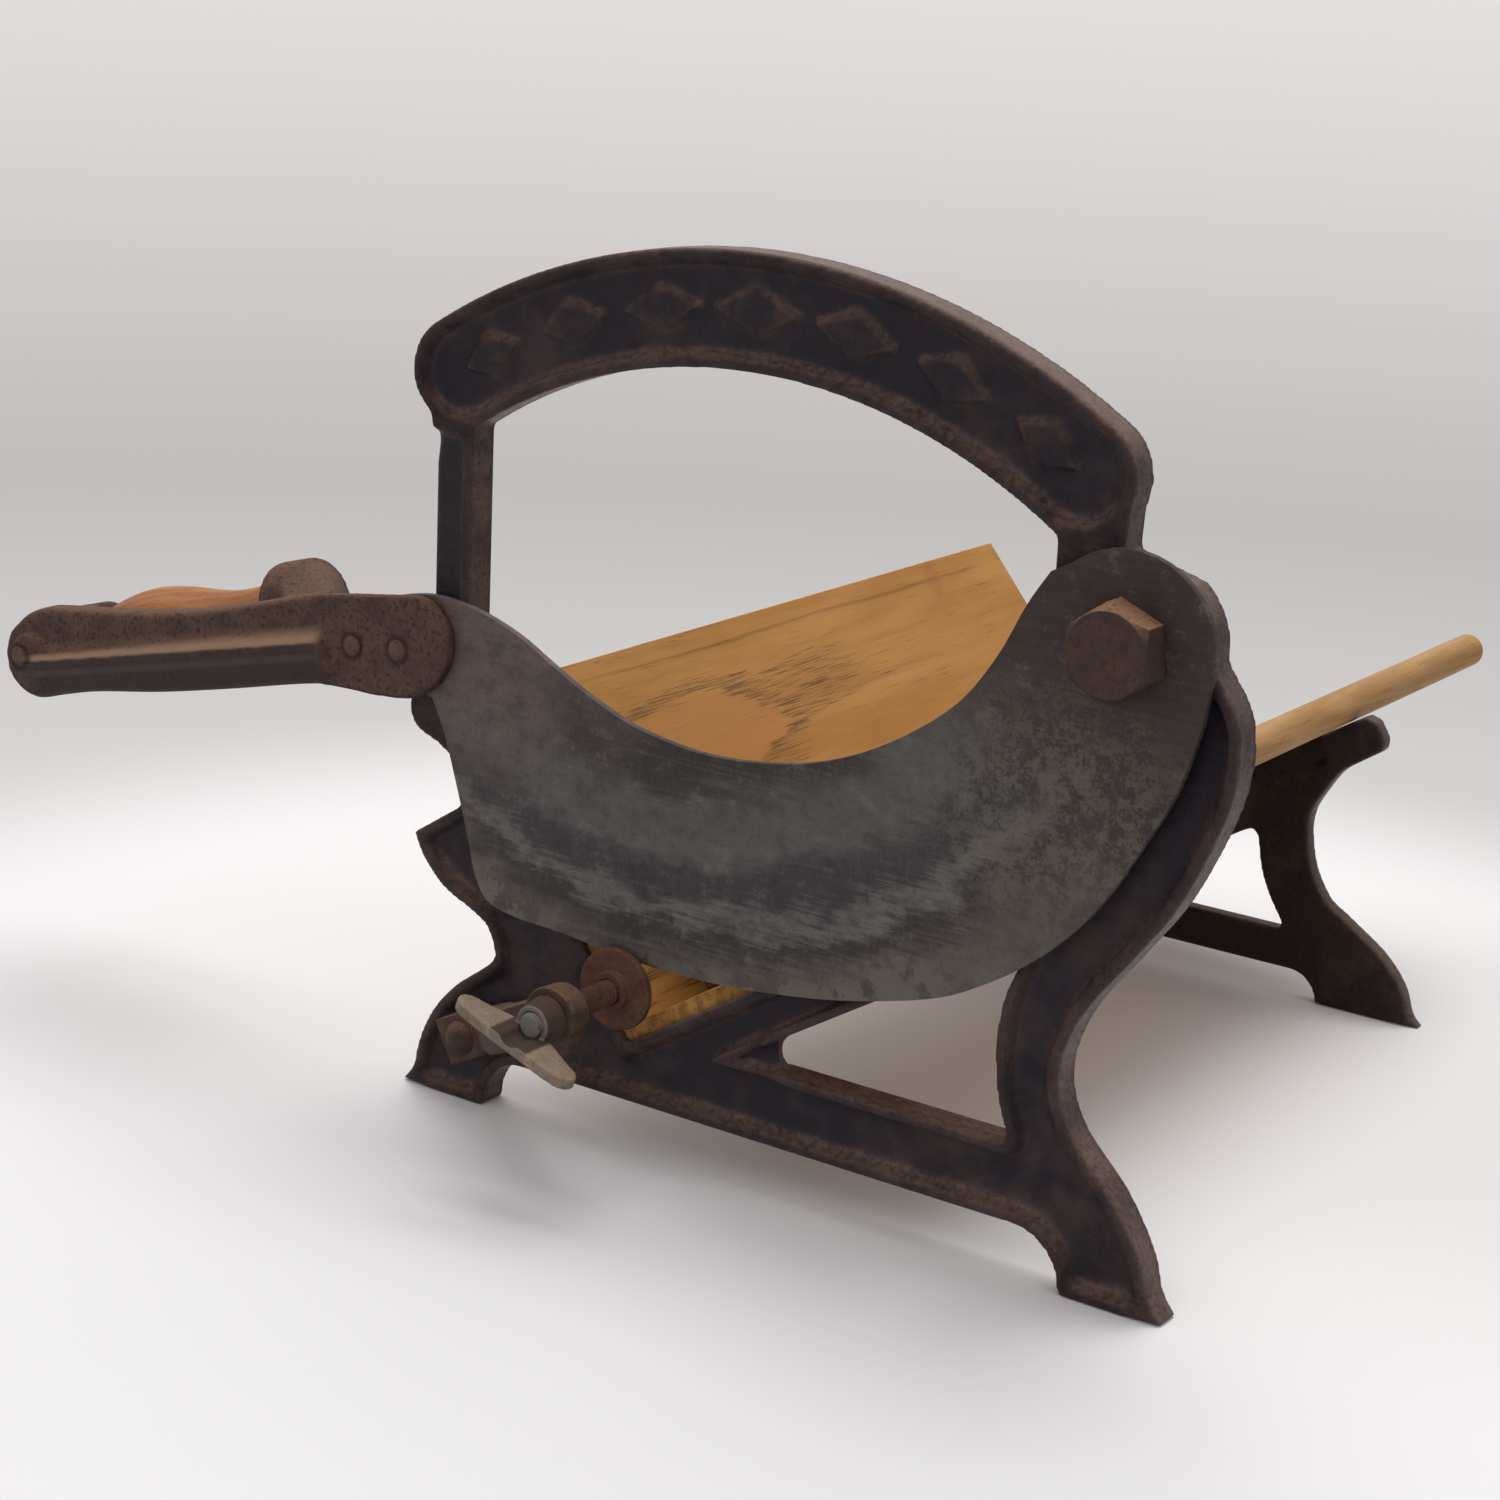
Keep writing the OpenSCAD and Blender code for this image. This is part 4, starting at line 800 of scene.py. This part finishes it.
def softened(node, width, segments=2, angle=34):
    piece = merged_copy(node)
    bpy.ops.object.mode_set(mode="EDIT")
    bpy.ops.mesh.select_all(action="SELECT")
    bpy.ops.mesh.dissolve_limited(angle_limit=FLAT)
    bpy.ops.object.mode_set(mode="OBJECT")
    bevel = piece.modifiers.new("Rubbed edges", "BEVEL")
    bevel.width = width
    bevel.segments = segments
    bevel.limit_method = "ANGLE"
    bevel.angle_limit = math.radians(angle)
    bpy.ops.object.modifier_apply(modifier="Rubbed edges")
    bpy.ops.object.shade_smooth_by_angle(angle=SMOOTH_BELOW)
    even = piece.modifiers.new("Even faces", "WEIGHTED_NORMAL")
    even.keep_sharp = True
    bpy.ops.object.modifier_apply(modifier="Even faces")
    hand_over(piece, node)


for node, width in BEVEL_WIDTHS.items():
    softened(node, width)

# %% [markdown]
# ## Rounded castings
# Sand castings have no crisp corners: rims are round and panels meet them in a soft hollow. A bevel
# would give each edge the same round. A voxel remesh skins the merged copy evenly instead, and a
# Smooth modifier melts its corners the way a worn casting looks. Where a casting is softer still,
# `loose` gives each point a share, and a first Smooth modifier works harder on the points that have
# one.

# %% Rounded castings
def smooth(piece, title, rounds, group=""):
    rub = piece.modifiers.new(title, "SMOOTH")
    rub.factor = 0.5
    rub.iterations = rounds
    rub.vertex_group = group
    bpy.ops.object.modifier_apply(modifier=title)


def melted(node, voxel, rounds, loose=None, loose_rounds=0):
    piece = merged_copy(node)
    skin = piece.modifiers.new("Skin", "REMESH")
    skin.mode = "VOXEL"
    skin.voxel_size = voxel
    bpy.ops.object.modifier_apply(modifier="Skin")
    if loose:
        group = piece.vertex_groups.new(name="Loose")
        for number, share in enumerate(loose([point.co for point in piece.data.vertices])):
            group.add([number], share, "REPLACE")
        smooth(piece, "Round off", loose_rounds, "Loose")
        piece.vertex_groups.clear()
    smooth(piece, "Rub", rounds)
    bpy.ops.object.shade_smooth()
    hand_over(piece, node)


print("casting tools ready")

# %% [markdown]
# ## Frame and stand
# The front frame is softest in the hollows beside its rims, and the feet of both castings end in
# blunt toes. Weights could be painted by hand. A distance in code is exact: from the outline of the
# frame, or from the tips of the feet.

# %% Frame and stand
ARCH_END = place(-158.3, 0, 265.7)
SOLE, TOE = 0.004, (0.015, 0.006)
WEB_SLICE = 0.0018
OFF_RIM, OFF_PANEL = (0.0034, 0.0046), (0.0165, 0.012)


def step(value, low, high):
    return max(0.0, min(1.0, (value - low) / (high - low)))


def blunt_toes(points):
    """1 at the tips of the two feet and under the left end of the arch, 0 a little way off."""
    sole = [point for point in points if point.z < SOLE]
    tips = [min(sole, key=lambda point: point.x), max(sole, key=lambda point: point.x), ARCH_END]
    for point in points:
        yield step(min(math.hypot(point.x - tip.x, point.z - tip.z) for tip in tips), *TOE)


def rim_hollows(points):
    """0 along the outline, 1 in the hollow beside the rim and at the blunt toes, 0 out on the panel."""
    outline = [point for point in points if abs(point.y - frame_middle) < WEB_SLICE]
    nearest = KDTree(len(outline))
    for number, point in enumerate(outline):
        nearest.insert((point.x, 0, point.z), number)
    nearest.balance()
    for point, blunt in zip(points, blunt_toes(points)):
        gap = nearest.find((point.x, 0, point.z))[2]
        yield max(blunt, step(gap, *OFF_RIM) * step(gap, *OFF_PANEL))


melted("front_frame", voxel=0.00132, rounds=4, loose=rim_hollows, loose_rounds=30)
melted("rear_stand", voxel=0.0012, rounds=7, loose=blunt_toes, loose_rounds=30)

# %% [markdown]
# ## Handle bar
# The handle's bar is round along its top and bottom edges but keeps its ridge and its flat pad.
# Smoothing all of it alike would melt the ridge away, so distance from the bar's own line gives a
# share to its shoulders.

# %% Handle bar
PAD = place(PIVOT_X - 317, HANDLE_FRONT, PIVOT_Z - 56)
PAD_LENGTH, PAD_DEPTH, PAD_SHARE = 0.03, 0.009, 0.15
HANDLE_SLOPE = math.radians(11)
SHOULDER = 0.0095, 0.0135


def handle_shoulders(points):
    """1 on the bar's top and bottom edges, 0 along its ridge, little on the riveted pad."""
    for point in points:
        gap = point - PAD
        along = -gap.x * math.cos(HANDLE_SLOPE) - gap.z * math.sin(HANDLE_SLOPE)
        across = gap.z * math.cos(HANDLE_SLOPE) - gap.x * math.sin(HANDLE_SLOPE)
        pad = gap.y > PAD_DEPTH or along < PAD_LENGTH
        yield PAD_SHARE if pad else step(abs(across), *SHOULDER)


melted("handle_bar", voxel=0.0009, rounds=5, loose=handle_shoulders, loose_rounds=60)

# %% [markdown]
# ## Bracket and wing nut
# The gauge's bracket and its wing nut are small castings with no panels. A bevel could round them,
# but their arms and wings flow into the hubs, and a fine voxel skin with more smoothing melts them
# together as the foundry's mould does.

# %% Bracket and wing nut
melted("gauge_bracket", voxel=0.0006, rounds=6)
melted("wing_nut", voxel=0.0005, rounds=8)

# %% [markdown]
# ## Turned grip
# The grip is turned wood, and the solid already has its curve. It could be spun again from a
# profile, but the copy needs only a small rounding of its ends, with an angle high enough to leave
# the turned curve alone.

# %% Turned grip
softened("grip", 0.0008, segments=3, angle=50)

# %% [markdown]
# ## Thread
# The gauge screw is a threaded rod. Its thread could be a bump in the material, but it shows along
# the outline. A small triangle is added beside the axis instead, and the Screw modifier winds it
# along the rod, once per pitch.

# %% Thread
CREST, ROOT, PITCH = 0.0048, 0.0038, 0.0023
TURN_STEPS = 28


def wound_thread(centre, start, length):
    bpy.ops.mesh.primitive_circle_add(vertices=3, radius=(CREST - ROOT) * 0.75, fill_type="NGON")
    thread = bpy.context.object
    bpy.ops.object.mode_set(mode="EDIT")
    bpy.ops.mesh.select_all(action="SELECT")
    bpy.ops.transform.rotate(value=math.pi / 2, orient_axis="Z", center_override=(0, 0, 0))
    bpy.ops.transform.translate(value=(ROOT + (CREST - ROOT) * 0.25, 0, 0))
    bpy.ops.object.mode_set(mode="OBJECT")
    wind = thread.modifiers.new("Wind", "SCREW")
    wind.axis = "Y"
    wind.screw_offset = PITCH
    wind.iterations = int(length / PITCH)
    wind.steps = wind.render_steps = TURN_STEPS
    bpy.ops.object.modifier_apply(modifier="Wind")
    thread.location = (centre.x, start, centre.z)
    bpy.ops.object.transform_apply(location=True, rotation=True, scale=True)


print("thread of", PITCH * 1000, "mm pitch")

# %% [markdown]
# ## Gauge screw
# A plain core fills the thread, and both are joined into the piece that stands for the rod. A
# Boolean could unite them, but the thread's foot lies inside the core, so a join shows no gap. The
# normals are recalculated, because winding can turn a shape inside out.

# %% Gauge screw
def screw_core(centre, start, length):
    bpy.ops.mesh.primitive_cylinder_add(vertices=40, radius=ROOT, depth=length, rotation=(math.pi / 2, 0, 0),
                                        location=(centre.x, start + length / 2, centre.z))
    bpy.ops.object.transform_apply(location=True, rotation=True, scale=True)
    return bpy.context.object


rod_low, rod_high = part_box("gauge_rod")
rod_length = rod_high[1] - rod_low[1]
gauge_screw = screw_core(GAUGE, rod_low[1], rod_length)
wound_thread(GAUGE, rod_low[1], rod_length)
gauge_screw.select_set(True)
bpy.context.view_layer.objects.active = gauge_screw
bpy.ops.object.join()
gauge_screw.name = gauge_screw.data.name = "gauge_screw"
bpy.ops.object.mode_set(mode="EDIT")
bpy.ops.mesh.select_all(action="SELECT")
bpy.ops.mesh.normals_make_consistent(inside=False)
bpy.ops.object.mode_set(mode="OBJECT")
bpy.ops.object.shade_smooth_by_angle(angle=math.radians(50))
gauge_screw.data.materials.append(gauge_steel)
hand_over(gauge_screw, "gauge_rod")

# %% [markdown]
# ## Floor
# The slicer stands on white paper with a painted shadow on its right. The paper could be a sheet
# that curves up into a backdrop, but that would hide the slicer from behind. It is a disc whose rim
# fades out, so that the wall colour of the world shows beyond it from every side.

# %% Floor
PAPER_RADIUS, PAPER_DROP = 1.2, 0.0004
PAPER_MIDDLE = (0.1, -0.16)
PAINTED_SHADOW_AT, PAINTED_SHADOW_REACH = (0.42, 0.1), (0.3, 0.3)
bpy.ops.object.select_all(action="DESELECT")
bpy.ops.mesh.primitive_circle_add(vertices=96, radius=PAPER_RADIUS, fill_type="NGON",
                                  location=(0, 0, -PAPER_DROP))
floor = bpy.context.object
floor.name = "floor"
bpy.ops.object.transform_apply(location=True, rotation=True, scale=True)
floor_paper, tree, shader = finish_named("floor_paper")
where = axes(tree)[0]
far = away(tree, where[0], where[1], PAPER_MIDDLE)
wisp = grain(tree, spot(tree), 3, 2, 0.4)
paper = mix(tree, wisp, tone(0.85, 0.838, 0.83), tone(0.81, 0.8, 0.795))
# A painted shadow darkens the paper to the right of the slicer.
painted_shadow = mask(tree, away(tree, where[0], where[1], PAINTED_SHADOW_AT, PAINTED_SHADOW_REACH), 1.1, 0.3)
paper = lay(tree, paper, tone(0.7, 0.68, 0.668), painted_shadow, 0.75)
tree.links.new(paper, shader.inputs["Base Color"])
shader.inputs["Roughness"].default_value = 0.75
clear = put(tree, "BsdfTransparent")
sheet = put(tree, "MixShader", {0: mask(tree, far, 0.42, 0.66), 1: shader.outputs[0], 2: clear.outputs[0]})
tree.links.new(sheet.outputs[0], tree.nodes["Material Output"].inputs[0])
floor.data.materials.append(floor_paper)
floor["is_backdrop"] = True
print("floor", floor.name, floor_paper.name)

# %% [markdown]
# ## Lamps
# The light is soft and plain. One wide lamp hangs above and a little behind, and two weak wide
# lamps fill the right and the front. A picture of a studio could light the scene, but square area
# lamps need no file, and their width alone sets how soft the shadows are.

# %% Lamps
def soft_lamp(name, where, aim, width, power):
    bpy.ops.object.light_add(type="AREA", location=where)
    lamp = bpy.context.object
    lamp.name = name
    lamp.data.shape = "SQUARE"
    lamp.data.size = width
    lamp.data.energy = power
    lamp.rotation_euler = (Vector(aim) - Vector(where)).to_track_quat("-Z", "Y").to_euler()
    print("lamp", name, power, "W")


soft_lamp("roof", (-0.1, 0.35, 1.8), aim=(0.02, 0, 0.05), width=1.3, power=22)
soft_lamp("right_fill", (2.0, -0.7, 1.2), aim=(0.1, 0, 0.15), width=1.2, power=1.5)
soft_lamp("front_fill", (-0.6, -2.2, 1.9), aim=(0, 0, 0.15), width=1.6, power=6)

# %% [markdown]
# ## Wall
# Behind the paper is a pale grey wall, darkest just above the floor, and it turns pale again for a
# view from high up, where only the floor would show. A wall of mesh would block the other sides, so
# the world draws it: a colour ramp over the height of the view. Light Path shows it to the camera
# and to reflections alone, and a plain sky lights the slicer.

# %% Wall
WALL_FOOT, WALL_TOP = -0.5, -0.02
WALL = [(0.0, tone(0.86, 0.845, 0.837)), (0.29, tone(0.7, 0.685, 0.676)),
        (0.458, tone(0.68, 0.665, 0.655)), (0.637, tone(0.53, 0.511, 0.51)),
        (0.702, tone(0.565, 0.543, 0.538)), (0.881, tone(0.71, 0.683, 0.673)),
        (1.0, tone(0.79, 0.762, 0.75))]
world = bpy.context.scene.world or bpy.data.worlds.new("World")
bpy.context.scene.world = world
world.use_nodes = True
air = world.node_tree
rise = put(air, "SeparateXYZ", {0: put(air, "TexCoord").outputs["Generated"]}).outputs[2]
sky = air.nodes["Background"]
sky.inputs["Color"].default_value = tone(0.96, 0.95, 0.97)
air.links.new(span(air, rise, -0.1, 1.0, 0.32, 0.76), sky.inputs["Strength"])
wall_colour = ramp(air, span(air, rise, WALL_FOOT, WALL_TOP), WALL)
wall = put(air, "Background", {"Color": wall_colour, "Strength": 1.0})
path = put(air, "LightPath").outputs
seen = most(air, path["Is Camera Ray"], path["Is Glossy Ray"])
seen = most(air, seen, path["Is Transmission Ray"])
both = put(air, "MixShader", {0: seen, 1: sky.outputs[0], 2: wall.outputs[0]})
air.links.new(both.outputs[0], air.nodes["World Output"].inputs[0])
print("wall bands", len(WALL))

boxes = {"solids": solid_box, "dressed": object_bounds()}
{name: [[round(v, 5) for v in corner] for corner in box] for name, box in boxes.items()}
print(boxes)
